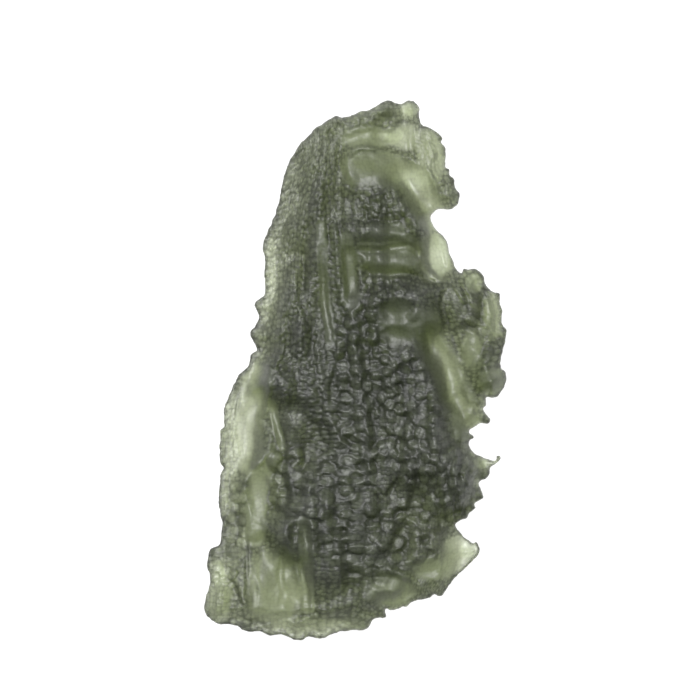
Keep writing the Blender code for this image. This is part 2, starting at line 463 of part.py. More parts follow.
def carving(x, y, ellipses, lines):
    """The height that ellipses and lines add; a line narrower than a facet is made wide and low."""
    height = np.zeros(x.shape)
    for _, at_x, at_y, half_width, half_height, turn, rise in ellipses:
        height += rise * bump(ellipse_share(x, y, at_x, at_y, half_width, half_height, turn))
    for _, points, half_width, rise in lines:
        width = max(half_width, LEAST_LINE)
        distance, along = nearest_on_line(x, y, smooth_curve(points, width))
        taper = smoothstep(-0.05, LINE_TAPER, np.minimum(along, 1.0 - along))
        height += rise * half_width / width * taper * bump(distance / width)
    return height


def averaged_over_facet(x, y, surface):
    """A surface's height averaged over a facet's width, so that no narrow feature makes a spike."""
    total = surface(x, y)
    for corner in range(6):
        angle = corner * math.pi / 3.0
        total = total + surface(x + FACET_BLUR * math.cos(angle), y + FACET_BLUR * math.sin(angle))
    return total / 7.0


def top_relief(x, y):
    """Scoops, lumps, grooves, ridges and bead rows of the top."""
    return columns_of_beads(x, y) + carving(x, y, LUMPS, LINES)


def under_relief(x, y):
    """Hollows, grooves and bead rows of the underside."""
    return carving(x, y, UNDER_HOLLOWS, UNDER_GROOVES) - columns_of_beads(x, -y)


def underside(x, y):
    """Height of the underside: a flat resting spot, and a shallow bowl with hollows round it."""
    spot = ellipse_share(x, y, *SPOT_AT, *SPOT_HALF_SIZE)
    beyond = np.maximum(spot - 1.0, 0.0)
    side = np.abs(x - SPOT_AT[0]) / (STONE_WIDTH / 2.0)
    end = np.abs(y - SPOT_AT[1]) / (STONE_LENGTH / 2.0)
    bowl = SIDE_LIFT * side ** 1.6 + END_LIFT * end ** 1.6
    height = SPOT_STEP * smoothstep(0.0, 0.15, beyond) + bowl * smoothstep(0.0, 1.0, beyond)
    carved = averaged_over_facet(x, y, under_relief)
    return height + carved * smoothstep(0.05, 0.4, beyond)


def glass_heights(x, y, inset):
    """Heights of the underside and the top at places that lie an inset inside the rim."""
    thickness, flange, rise = station_values(x, y)
    uneven = inset * (1.0 + CLIMB_WANDER * soft_noise(x, y, CLIMB_WANDER_PITCH, 51))
    start = RIM_START * (1.0 - smoothstep(0.0, 0.35, flange))
    climb = start + (1.0 - start) * smoothstep(0.0, 1.0, (uneven - flange) / rise)
    thickness = FLANGE_GLASS + (thickness - FLANGE_GLASS) * climb
    edge = np.clip(inset / RIM_ROUNDING, 0.0, 1.0)
    roundness = np.sqrt(1.0 - (1.0 - edge) ** 2)
    relief_share = smoothstep(0.0, 1.2, inset)
    plain = underside(x, y)
    low = plain + RIM_SHARE_BELOW * thickness * (1.0 - roundness)
    high = plain + thickness * (RIM_SHARE_BELOW + (1.0 - RIM_SHARE_BELOW) * roundness)
    high += averaged_over_facet(x, y, top_relief) * relief_share
    return low, np.maximum(high, low + LEAST_GLASS * roundness)


def rim_points():
    """The outline as one closed row of points, no further apart than the mesh spacing."""
    corners = [point for stretch in OUTLINE.values() for point in stretch]
    return smooth_curve(corners, MESH_SPACING, closed=True)


def lattice_inside(rim):
    """Points of a triangular lattice that lie well inside the rim."""
    closed_rim = np.vstack([rim, rim[:1]])
    row_step = MESH_SPACING * math.sqrt(3.0) / 2.0
    rows = np.arange(-STONE_LENGTH / 2.0, STONE_LENGTH / 2.0, row_step)
    places = []
    for number, row_y in enumerate(rows):
        start = -STONE_WIDTH / 2.0 + (number % 2) * MESH_SPACING / 2.0
        for column_x in np.arange(start, STONE_WIDTH / 2.0, MESH_SPACING):
            places.append((column_x, row_y))
    places = np.array(places)
    inset, _ = nearest_on_line(places[:, 0], places[:, 1], closed_rim)
    keep = inside_outline(places[:, 0], places[:, 1], rim) & (inset > 0.55 * MESH_SPACING)
    return places[keep]


def inside_outline(x, y, rim):
    """Whether each place is inside the outline, by counting the rim's crossings."""
    inside = np.zeros(x.shape, dtype=bool)
    for (ax, ay), (bx, by) in zip(rim, np.roll(rim, -1, axis=0)):
        spans = (ay > y) != (by > y)
        if ay != by:
            inside ^= spans & (x < ax + (y - ay) * (bx - ax) / (by - ay))
    return inside


def triangles_between(rim, interior):
    """Triangles over the whole outline, none of which joins two rim points across the glass."""
    count = len(rim)
    rim_edges = [(i, (i + 1) % count) for i in range(count)]
    while True:
        places = np.vstack([rim, interior])
        found = delaunay_2d_cdt([Vector(p) for p in places], rim_edges, [], 1, 1e-6)
        faces, origins = found[2:4]
        source = [origin[0] for origin in origins]
        faces = [tuple(source[corner] for corner in face) for face in faces]
        chords = set()
        for face in faces:
            for a, b in zip(face, face[1:] + face[:1]):
                neighbours = (b - a) % count in (1, count - 1)
                if a < count and b < count and not neighbours:
                    chords.add((min(a, b), max(a, b)))
        if not chords:
            return places, faces
        middles = [(rim[a] + rim[b]) / 2.0 for a, b in sorted(chords)]
        interior = np.vstack([interior, middles])


def build_glass():
    """The closed mesh: a top and an underside that share the points of the rim."""
    rim = rim_points()
    places, faces = triangles_between(rim, lattice_inside(rim))
    x, y = places[:, 0], places[:, 1]
    inset, _ = nearest_on_line(x, y, np.vstack([rim, rim[:1]]))
    inset[:len(rim)] = 0.0
    low, high = glass_heights(x, y, inset)
    centre_x = (rim[:, 0].min() + rim[:, 0].max()) / 2.0
    centre_y = (rim[:, 1].min() + rim[:, 1].max()) / 2.0
    bottom = low.min()
    mesh = bmesh.new()
    x = METRES_PER_MM * (x - centre_x)
    y = METRES_PER_MM * (y - centre_y)
    top = METRES_PER_MM * (high - bottom)
    under = METRES_PER_MM * (low - bottom)
    upper = [mesh.verts.new(place) for place in zip(x, y, top)]
    lower = upper[:len(rim)]
    lower += [mesh.verts.new(place) for place in zip(x, y, under)][len(rim):]
    for a, b, c in faces:
        mesh.faces.new((upper[a], upper[b], upper[c]))
        mesh.faces.new((lower[c], lower[b], lower[a]))
    data = bpy.data.meshes.new("moldavite")
    mesh.to_mesh(data)
    mesh.free()
    data.shade_smooth()
    return data


def glass_material():
    """Green natural glass."""
    material = bpy.data.materials.new("green_glass")
    material.use_nodes = True
    shader = material.node_tree.nodes["Principled BSDF"]
    shader.inputs["Base Color"].default_value = GLASS_COLOUR
    shader.inputs["Roughness"].default_value = GLASS_ROUGHNESS
    shader.inputs["Metallic"].default_value = 0.0
    return material


def main():
    clear_scene()
    data = build_glass()
    data.materials.append(glass_material())
    stone = bpy.data.objects.new("moldavite", data)
    bpy.context.scene.collection.objects.link(stone)


main()
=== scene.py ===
"""The looks of the moldavite: an etched leaf of see-through green glass on a plain white floor.

The stone is one mesh, modelled again from the same named stretches, stations, scoops, lumps and
ridges as the solid that it replaces, with the fine etching that the solid is too coarse for.
Shapes are worked out in millimetres, with +X to the right, +Y up the length of the leaf and +Z up.
"""
import math

import bpy
import numpy as np
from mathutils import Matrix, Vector
from mathutils.geometry import delaunay_2d_cdt


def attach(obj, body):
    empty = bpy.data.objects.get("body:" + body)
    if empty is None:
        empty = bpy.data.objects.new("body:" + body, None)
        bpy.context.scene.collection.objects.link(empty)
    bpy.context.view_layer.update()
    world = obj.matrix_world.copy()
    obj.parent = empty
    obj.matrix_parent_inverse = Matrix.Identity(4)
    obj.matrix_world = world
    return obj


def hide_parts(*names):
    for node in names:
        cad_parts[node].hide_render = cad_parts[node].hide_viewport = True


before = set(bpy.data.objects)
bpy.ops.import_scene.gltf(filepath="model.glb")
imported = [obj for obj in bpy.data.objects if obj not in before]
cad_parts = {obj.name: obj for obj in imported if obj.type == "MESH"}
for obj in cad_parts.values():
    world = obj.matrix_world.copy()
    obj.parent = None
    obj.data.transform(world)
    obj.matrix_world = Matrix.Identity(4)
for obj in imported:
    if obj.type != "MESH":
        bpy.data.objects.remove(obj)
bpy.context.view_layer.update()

METRES_PER_MM = 0.001
# Driving dimensions, in millimetres
STONE_LENGTH = 45.0
STONE_WIDTH = 25.2
STONE_HEIGHT = 9.0
BEAD_HEADROOM = 0.22
TOP_SPACING = 0.112
UNDER_SPACING = 0.23
RIM_ROUNDING = 0.5
RIM_SHARE_BELOW = 0.4
LEAST_GLASS = 0.4
FLANGE_GLASS = 0.85
RIM_START = 0.4
CLIMB_WANDER = 0.45
CLIMB_WANDER_PITCH = 2.4
END_LIFT = 3.4
SIDE_LIFT = 2.8
SPOT_AT = (0.8, -2.0)
SPOT_HALF_SIZE = (2.8, 4.2)
SPOT_STEP = 0.3
COLUMN_PITCH = 1.8
COLUMN_DEPTH = 0.08
COLUMN_WANDER = 0.6
COLUMN_WANDER_PITCH = 3.6
BEAD_PITCH = 2.7
BEAD_WANDER = 0.9
BEAD_WANDER_PITCH = 2.9
LINE_TAPER = 0.12
WANDER = 0.16
WANDER_PITCH = 1.7
WANDER_FINE = 0.05
WANDER_FINE_PITCH = 0.55
RAGGEDNESS = 0.12
RIM_RAGGED = 0.06
RIM_PALENESS = 0.22
TOP_ETCHING = 0.20
UNDER_ETCHING = 0.34
TYPICAL_TOP = 0.72
RELIEF_RANGE = 0.7
SMOOTH_CREST = 0.88
SMOOTH_GRAIN = 0.30
CELL_JITTER = 0.62
LOWEST_BEAD = 0.45
CELL_REACH = 0.57
DOME_FLATNESS = 2.0
LAMINA_PITCH = 0.30
LAMINA_HEIGHT = 0.10
CELLS = 256

# The outline, anticlockwise from the knob at the top
OUTLINE = {
    "crown": [(2.8, 22.5), (2.0, 22.3), (1.1, 21.7), (0.3, 21.6), (-0.9, 21.1), (-1.7, 21.2),
              (-3.7, 19.9)],
    "left shoulder": [(-5.4, 17.8), (-6.0, 16.3), (-6.7, 13.3), (-7.5, 11.4)],
    "left flange": [(-7.8, 10.4), (-7.8, 9.8), (-7.6, 9.3), (-7.7, 7.6), (-7.6, 7.0), (-7.7, 6.4),
                    (-8.5, 5.6), (-8.2, 4.5), (-8.5, 3.6), (-8.8, 3.3), (-8.8, 2.7), (-8.3, 1.7)],
    "waist": [(-8.7, 1.4), (-9.1, 0.3), (-9.7, -0.2)],
    "lower left rim": [(-11.0, -3.1), (-11.1, -4.2), (-11.1, -4.7), (-11.3, -5.0), (-11.3, -7.8),
                       (-11.1, -8.1), (-11.3, -8.6), (-11.5, -10.7), (-11.2, -13.0),
                       (-11.3, -14.0), (-11.5, -14.5)],
    "heel": [(-12.1, -14.8), (-12.3, -15.3), (-12.4, -16.2), (-12.2, -17.4), (-12.6, -19.4),
             (-12.5, -20.2), (-11.5, -21.0), (-9.9, -21.2)],
    "foot": [(-9.5, -21.6), (-7.9, -21.8), (-7.5, -22.0), (-6.8, -22.1), (-6.2, -22.0),
             (-5.0, -22.5), (-4.5, -22.5), (-4.0, -22.2), (-3.0, -22.4), (-2.3, -22.2),
             (-1.9, -22.0), (-0.1, -21.7), (0.5, -21.7), (1.0, -21.5), (1.3, -21.0), (1.6, -20.7),
             (2.5, -20.6), (2.5, -19.9), (2.9, -20.0), (3.6, -19.9), (3.9, -19.7), (4.2, -19.7),
             (4.7, -19.3), (6.1, -19.0), (6.5, -18.7), (6.9, -18.8), (7.3, -18.7)],
    "lower right lobe": [(8.1, -17.5), (9.2, -16.5), (10.4, -15.0), (10.0, -14.3), (9.8, -14.4),
                         (9.3, -14.1), (8.3, -12.9)],
    "claws": [(9.3, -12.3), (9.5, -11.9), (10.0, -11.5), (9.9, -11.2), (10.6, -10.6), (10.3, -9.4),
              (10.9, -9.1), (11.2, -8.7), (11.2, -8.2), (11.8, -7.8), (12.1, -7.4), (12.0, -7.1),
              (11.7, -7.1), (11.6, -7.5), (9.7, -6.7), (9.5, -6.0), (9.9, -5.6), (9.5, -5.2),
              (10.3, -4.5), (11.0, -4.5), (11.2, -4.1), (10.7, -3.2), (10.9, -3.0), (10.9, -2.3),
              (11.8, -2.2)],
    "right bulge": [(12.6, -0.9), (12.5, -0.2), (12.1, 0.3), (12.1, 1.0), (12.5, 2.5), (12.6, 3.3),
                    (12.2, 4.1), (12.2, 4.6), (12.3, 5.0), (12.0, 5.8), (12.0, 6.4), (11.3, 6.7),
                    (10.8, 7.3), (10.7, 7.9), (10.3, 8.3), (9.9, 8.5), (9.3, 8.4), (9.0, 8.5),
                    (8.8, 8.2), (8.4, 8.5)],
    "window rim": [(7.4, 11.1), (7.0, 11.5), (6.7, 11.7), (6.3, 12.8), (6.5, 13.1), (6.9, 13.4)],
    "nose": [(8.1, 13.5), (8.7, 14.5), (8.3, 15.3), (8.2, 16.0), (7.8, 16.3), (7.8, 16.8),
             (7.5, 16.9), (7.4, 18.6), (7.1, 19.0), (7.2, 19.3), (6.5, 20.0), (5.6, 20.4),
             (5.3, 21.0), (5.3, 21.8), (5.0, 22.3), (4.5, 22.5), (3.5, 22.2)],
}

# Thickness stations: name, x, y, reach, thickness of the glass, width of the thin flange, rise
STATIONS = [
    ("lower foot", -1.55, -18.95, 1.65, 4.0, 0.0, 2.2),
    ("crown left", -2.4, 19.4, 1.85, 2.8, 0.0, 1.7),
    ("crown band", 0.8, 20.9, 1.35, 3.2, 0.0, 1.1),
    ("crown knob", 4.1, 21.7, 0.85, 1.4, 0.0, 1.1),
    ("upper shelf", 2.95, 19.55, 1.0, 1.4, 0.0, 1.3),
    ("scoop left", 0.95, 16.55, 1.15, 4.6, 0.0, 1.7),
    ("scoop right", 5.1, 15.9, 1.1, 2.3, 0.0, 1.7),
    ("laminated rim", 6.95, 17.7, 1.0, 1.9, 0.0, 1.3),
    ("nose", 7.8, 14.55, 0.85, 2.2, 0.0, 1.1),
    ("bumps below the scoop", 2.4, 13.7, 1.35, 4.8, 0.0, 1.7),
    ("upper left", -4.7, 13.8, 2.0, 3.5, 0.5, 2.5),
    ("left flange", -7.05, 8.8, 1.65, 2.3, 0.9, 1.7),
    ("left middle", -5.55, 3.8, 2.0, 4.4, 0.3, 2.5),
    ("smooth stripes", -0.9, 9.9, 1.5, 5.2, 0.0, 2.3),
    ("folds", 2.45, 10.05, 1.65, 4.9, 0.0, 2.3),
    ("window", 6.6, 9.55, 1.0, 1.7, 0.0, 1.0),
    ("centre", -0.55, -0.8, 2.65, 6.6, 0.0, 2.8),
    ("stacked cups", 3.3, 4.2, 1.5, 6.6, 0.0, 2.8),
    ("oval lump", 8.3, 5.7, 1.0, 3.5, 0.0, 1.7),
    ("right fringe", 11.45, 4.9, 0.9, 2.2, 0.0, 1.2),
    ("pale valley", 7.8, 1.2, 1.35, 2.3, 0.0, 1.7),
    ("valley foot", 8.9, -2.9, 1.0, 2.9, 0.0, 1.7),
    ("right lobe", 11.45, -0.6, 1.0, 4.6, 0.0, 1.2),
    ("teal basin", 4.3, -0.45, 1.35, 7.2, 0.0, 2.8),
    ("overhanging mass", 6.1, -5.8, 1.85, 6.4, 0.0, 2.8),
    ("right dark band", 8.2, -10.8, 1.25, 5.6, 0.0, 1.9),
    ("mass edge", 9.1, -7.6, 0.85, 5.2, 0.0, 1.0),
    ("claw flake", 11.05, -7.8, 0.85, 1.5, 0.0, 1.0),
    ("lower centre", -1.4, -12.9, 2.5, 6.4, 0.0, 2.8),
    ("olive facet", 2.95, -18.1, 1.5, 4.8, 0.0, 1.9),
    ("tail lobe", 8.6, -15.45, 1.35, 2.4, 0.3, 1.8),
    ("foot", -3.45, -20.8, 1.5, 2.6, 0.5, 1.9),
    ("foot left", -8.2, -19.8, 1.35, 2.8, 0.4, 1.9),
    ("heel", -11.45, -18.1, 1.1, 1.8, 0.0, 1.3),
    ("lower left flange", -10.45, -5.4, 1.0, 1.2, 0.9, 1.7),
    ("thumb valley", -8.55, -4.55, 1.1, 1.9, 0.7, 1.3),
    ("left column", -7.9, -10.1, 1.35, 2.8, 0.6, 1.9),
    ("scalloped lumps", -5.7, -5.8, 1.5, 4.0, 0.7, 2.5),
    ("pale column", -8.7, -15.8, 1.25, 2.2, 0.5, 1.9),
    ("second column", -5.3, -18.3, 1.35, 2.4, 0.5, 2.3),
    ("scaly lumps", 4.6, -12.9, 1.65, 4.0, 0.0, 2.5),
    ("tail left", 6.3, -16.6, 1.15, 3.0, 0.0, 1.8),
]

# Lumps on the top, and scoops where the height is negative: name, x, y, half width, half height,
# turn in degrees, height
LUMPS = [
    ("soft shoulder lump", -3.55, 17.2, 1.0, 1.0, 0, 0.5),
    ("shoulder hollow", -5.05, 15.05, 0.9, 1.1, 20, -0.4),
    ("bright shelf", 2.8, 19.7, 1.15, 0.75, -5, 0.4),
    ("wedge hollow", 2.2, 18.7, 1.25, 0.5, -4, -0.25),
    ("clear knob", 4.55, 21.8, 0.85, 0.75, 0, 0.4),
    ("nose knob", 7.95, 14.6, 0.75, 0.9, 0, 0.4),
    ("slanted bump", 0.9, 13.7, 0.5, 0.9, 30, 0.25),
    ("twin bump one", 1.8, 14.3, 0.5, 0.5, 0, 0.25),
    ("twin bump two", 2.7, 14.1, 0.5, 0.5, 0, 0.25),
    ("grey bump", 4.1, 13.55, 0.6, 0.75, -15, 0.3),
    ("small dash", 2.6, 13.1, 0.35, 0.6, 0, 0.15),
    ("oval window", 6.6, 9.45, 1.25, 1.9, -8, -0.6),
    ("upper cup", 3.3, 4.9, 1.5, 1.25, 0, -0.65),
    ("lower cup", 3.4, 2.7, 1.5, 1.15, 0, -0.6),
    ("pale lump", 4.7, 4.6, 0.6, 0.65, 0, 0.3),
    ("bright lump", 2.7, 0.95, 0.75, 0.65, 0, 0.35),
    ("grey lump one", 2.6, -0.3, 0.75, 0.75, 0, 0.4),
    ("grey lump two", 2.7, -1.45, 0.65, 0.6, 0, 0.3),
    ("grey lump three", 2.7, -4.05, 1.0, 1.0, 0, 0.55),
    ("grey lump four", 2.45, -6.45, 1.0, 0.85, 0, 0.45),
    ("centre bump", 0.4, -5.8, 0.65, 0.65, 0, 0.35),
    ("centre bump low", 0.4, -7.2, 0.6, 0.6, 0, 0.3),
    ("left centre bump", -0.95, -0.6, 0.65, 0.65, 0, 0.35),
    ("teal basin", 4.4, -0.8, 1.25, 2.0, 5, -0.65),
    ("oval lump", 8.2, 5.7, 0.9, 1.6, -8, 0.5),
    ("elongated lump", 9.6, 1.7, 0.9, 2.0, -24, 0.5),
    ("clear chip", 9.8, 7.2, 0.75, 0.9, 0, -0.4),
    ("fringe rib", 11.2, 4.4, 0.6, 1.6, -5, 0.3),
    ("rough patch", 11.6, 2.1, 0.75, 1.1, 0, -0.4),
    ("grey lobe", 11.2, -1.1, 1.15, 1.15, 0, 0.6),
    ("lobe bump", 12.2, -0.7, 0.5, 0.65, 0, 0.25),
    ("valley bowl", 8.9, -2.8, 1.1, 1.4, -12, -0.3),
    ("overhanging mass", 6.1, -6.2, 2.75, 3.35, 8, 0.8),
    ("mass bump one", 4.95, -3.95, 0.75, 0.65, 0, 0.35),
    ("mass bump two", 6.3, -4.2, 0.65, 0.65, 0, 0.35),
    ("mass bump three", 4.05, -5.45, 0.65, 0.75, 0, 0.35),
    ("mass bump four", 4.05, -7.1, 0.65, 0.65, 0, 0.35),
    ("mass bump five", 5.6, -8.3, 0.85, 0.75, 0, 0.4),
    ("scale one", 4.4, -11.45, 0.75, 0.65, 0, 0.35),
    ("scale two", 5.55, -12.1, 0.75, 0.6, 0, 0.3),
    ("scale three", 5.1, -13.3, 1.0, 0.85, 0, 0.45),
    ("scale four", 5.1, -15.3, 0.9, 0.85, 0, 0.45),
    ("scale five", 6.6, -13.95, 0.5, 1.1, 0, 0.25),
    ("scale six", 3.3, -13.1, 0.75, 0.65, 0, 0.35),
    ("scale seven", 3.8, -14.4, 0.65, 0.65, 0, 0.35),
    ("dark hollow", -2.05, -12.1, 0.9, 0.9, 0, -0.5),
    ("tail basin", 8.45, -15.1, 1.4, 1.1, 35, -0.5),
    ("olive facet", 2.95, -18.1, 2.5, 1.6, 10, -0.85),
    ("claw hollow", 10.7, -7.8, 1.0, 0.6, -15, -0.3),
    ("thumb notch", -7.9, -3.55, 0.6, 0.65, 0, 0.3),
    ("scalloped lump", -5.3, -4.45, 1.15, 1.9, 0, 0.6),
    ("ring bead", -3.9, -5.1, 0.5, 0.9, 0, 0.25),
    ("ribbed lump", -6.6, -7.45, 0.85, 1.25, 0, 0.45),
    ("small bead", -4.7, -7.2, 0.5, 0.5, 0, 0.25),
    ("pale hollow", -8.2, -9.8, 1.1, 1.65, 0, -0.55),
    ("dark edged lump", -6.55, -10.05, 0.85, 1.4, 0, 0.45),
    ("wedge", -9.9, -11.45, 0.9, 0.6, 0, 0.3),
    ("box lump", -8.3, -13.45, 0.85, 0.85, 0, 0.45),
    ("grey column", -7.1, -16.45, 0.9, 1.85, 0, 0.5),
    ("pale column", -8.6, -18.45, 0.65, 1.85, 0, -0.35),
    ("second pale column", -5.05, -18.95, 1.0, 2.15, 0, -0.55),
    ("heel lump", -11.45, -16.45, 0.85, 0.75, 0, 0.4),
    ("heel dome", -11.3, -18.95, 1.15, 1.5, 0, 0.6),
    ("foot lumps", -4.45, -20.95, 1.0, 0.6, 0, 0.3),
    ("left knob", -8.4, 2.7, 0.6, 0.65, 0, 0.3),
    ("low pale lump", 0.8, -20.6, 0.75, 0.6, 0, 0.3),
    ("lower bump", -1.4, -14.55, 0.75, 0.65, 0, 0.35),
    ("crack lump", 1.3, -11.45, 0.9, 0.75, 0, 0.4),
]

# Ridges on the top, and grooves where the height is negative: name, points, half width, height
LINES = [
    ("scoop", [(-0.55, 16.55), (0.8, 16.7), (2.55, 16.6), (4.1, 15.8), (5.1, 14.55),
               (5.9, 13.05)], 1.65, -0.95),
    ("scoop crest", [(-0.6, 17.55), (0.1, 18.2), (1.1, 18.4), (2.8, 18.2), (4.4, 17.8),
                     (5.45, 17.05), (6.2, 15.9), (6.55, 14.55), (6.7, 13.2)], 0.35, 0.25),
    ("crown ridge", [(-3.2, 19.7), (-1.8, 20.6), (-0.4, 21.05), (1.6, 21.55),
                     (3.1, 21.55)], 0.65, 0.5),
    ("rim groove", [(4.3, 21.05), (4.55, 19.9), (4.9, 17.95), (5.8, 16.3), (6.45, 14.2)], 0.35, -0.25),
    ("inner arc", [(0.3, 15.55), (1.8, 15.6), (3.1, 15.3), (4.3, 14.6), (5.3, 13.6),
                   (6.05, 12.4)], 0.4, 0.12),
    ("bright groove", [(-1.7, 18.4), (-1.3, 17.3), (-0.95, 15.9)], 0.25, -0.2),
    ("fold crest one", [(0.05, 11.4), (2.45, 11.4), (4.55, 10.95)], 0.75, 0.6),
    ("fold crest two", [(0.2, 9.1), (2.6, 9.1), (5.45, 8.6)], 0.75, 0.6),
    ("fold valley one", [(0.1, 12.3), (2.45, 12.4), (3.8, 12.6)], 0.4, -0.3),
    ("fold valley two", [(0.05, 10.1), (2.45, 10.05), (4.55, 10.05), (5.45, 9.45)], 0.4, -0.3),
    ("fold valley three", [(0.3, 8.2), (2.8, 7.95), (4.45, 7.9), (5.7, 7.45), (6.95, 7.1),
                           (7.9, 7.3)], 0.4, -0.3),
    ("window left edge", [(5.6, 11.05), (5.45, 9.55), (5.95, 8.3), (6.9, 7.45)], 0.35, 0.25),
    ("window bar", [(6.9, 11.05), (7.1, 9.9), (7.45, 8.4)], 0.25, -0.2),
    ("window right edge", [(7.7, 10.9), (8.1, 9.2), (8.55, 7.9)], 0.35, 0.25),
    ("diagonal ridge", [(7.7, 7.6), (8.55, 6.6), (9.1, 5.4)], 0.35, 0.25),
    ("diagonal groove", [(8.2, 7.45), (8.95, 6.45), (9.55, 5.1)], 0.35, -0.25),
    ("lump contour", [(8.2, 3.3), (8.4, 1.95), (8.95, 0.55)], 0.35, -0.25),
    ("oval contour", [(7.2, 6.7), (7.1, 5.2), (7.7, 3.9)], 0.35, -0.25),
    ("fringe groove", [(10.4, 6.05), (10.4, 4.55), (10.1, 3.4)], 0.35, -0.25),
    ("dark rim", [(10.4, -2.3), (10.8, -3.45), (10.3, -4.6)], 0.5, 0.4),
    ("pale valley", [(5.3, 3.8), (6.3, 1.7), (7.2, 0.2), (7.7, -1.3), (8.45, -2.95),
                     (9.1, -4.1)], 1.15, -0.7),
    ("valley side", [(5.45, 3.55), (5.6, 1.7), (6.1, -0.1)], 0.4, 0.3),
    ("bead column", [(1.2, 6.05), (1.4, 4.9), (1.6, 3.7), (1.6, 2.7), (1.9, 1.9)], 0.5, 0.4),
    ("overhang edge", [(3.6, -3.45), (5.1, -3.05), (6.8, -2.95), (7.9, -3.3), (8.55, -4.45),
                       (8.95, -6.45)], 0.6, 0.45),
    ("scalloped crack", [(0.1, -9.7), (1.45, -9.6), (2.45, -10.45), (3.1, -9.55), (3.8, -9.05),
                         (5.05, -8.9), (6.3, -8.55)], 0.35, -0.25),
    ("second crack", [(2.95, -12.2), (3.95, -11.7), (5.1, -11.4)], 0.35, -0.25),
    ("overhang band", [(6.6, -12.6), (7.95, -11.95), (9.95, -11.55)], 0.6, -0.45),
    ("vertical rib one", [(6.95, -7.6), (7.1, -9.55), (7.4, -11.2)], 0.4, 0.3),
    ("vertical rib two", [(8.1, -7.6), (8.3, -9.55), (8.45, -11.05)], 0.4, 0.3),
    ("bright line", [(6.9, -14.45), (6.95, -16.9)], 0.25, 0.2),
    ("claw edge", [(9.45, -6.8), (10.6, -7.4), (11.7, -7.8)], 0.25, 0.2),
    ("claw diagonal", [(9.1, -8.45), (9.7, -10.55)], 0.35, 0.25),
    ("middle flow groove", [(-4.2, 5.9), (-3.4, 0.05), (-2.6, -4.1), (-1.6, -8.95)], 0.35, -0.12),
    ("ladder rib", [(-3.2, 1.7), (-2.4, -3.3), (-1.45, -8.6)], 0.75, 0.2),
    ("left flow groove", [(-3.7, 15.9), (-4.3, 10.9), (-4.45, 5.9)], 0.35, -0.25),
    ("upper flow groove", [(-0.55, 15.7), (-0.3, 10.9), (0.05, 5.9)], 0.35, -0.15),
    ("green stripe", [(-2.95, 10.9), (-2.7, 6.7), (-2.1, 2.1)], 0.4, -0.3),
    ("olive stripe", [(-0.7, 10.45), (-0.4, 5.9)], 0.6, -0.45),
    ("white beads", [(-2.05, 12.4), (-1.6, 10.05), (-1.3, 7.55), (-0.9, 5.05)], 0.5, 0.4),
    ("spine", [(-0.3, 5.05), (0.05, 0.9), (0.55, -4.1), (0.9, -9.1)], 0.75, 0.5),
    ("thumb valley", [(-8.05, -0.8), (-8.55, -2.2), (-8.9, -3.7), (-8.95, -5.3), (-8.7, -6.55),
                      (-8.8, -7.6)], 1.25, -1.0),
    ("thumb contour", [(-7.3, -0.45), (-7.1, -1.95), (-7.55, -2.8), (-8.1, -4.2), (-7.4, -5.3),
                       (-7.1, -6.2), (-7.55, -7.1), (-8.2, -7.9), (-8.95, -8.3)], 0.35, 0.25),
    ("crescent", [(-6.95, -2.95), (-6.7, -4.45), (-6.1, -6.3)], 0.4, -0.3),
    ("flange line one", [(-10.05, -1.1), (-10.55, -2.2), (-10.9, -3.6), (-11.05, -5.45),
                         (-11.05, -8.3)], 0.25, -0.2),
    ("flange line two", [(-9.4, -1.1), (-10.1, -2.45), (-10.45, -4.1), (-10.6, -6.6),
                         (-10.7, -10.8)], 0.25, -0.2),
    ("long groove", [(-9.05, -12.3), (-9.05, -14.95), (-9.05, -19.1)], 0.25, -0.2),
    ("column groove", [(-6.1, -14.8), (-6.1, -17.3), (-5.9, -18.3), (-6.2, -19.45)], 0.35, -0.25),
    ("lower stripe", [(-4.2, -12.3), (-4.2, -15.8), (-4.05, -19.1)], 0.65, -0.5),
    ("heel edge", [(-10.6, -17.45), (-9.95, -18.3), (-9.45, -19.4), (-8.7, -20.4)], 0.35, -0.25),
    ("heel diagonal", [(-10.6, -17.3), (-9.95, -16.45)], 0.35, 0.25),
    ("heel line", [(-12.45, -15.6), (-11.55, -15.7), (-10.55, -15.9)], 0.35, -0.25),
    ("foot groove", [(-9.55, -20.95), (-6.8, -20.6), (-3.7, -20.2), (-1.2, -20.9)], 0.5, -0.35),
    ("bright curve", [(-0.55, -20.8), (0.05, -19.6)], 0.35, 0.25),
    ("facet edge", [(0.45, -16.95), (1.8, -16.55), (2.8, -16.4), (4.1, -16.95),
                    (5.45, -18.2)], 0.4, 0.3),
    ("lower flow groove", [(-1.6, -8.95), (-1.4, -12.45), (-0.9, -15.8), (-0.4, -19.1)], 0.5, -0.2),
]

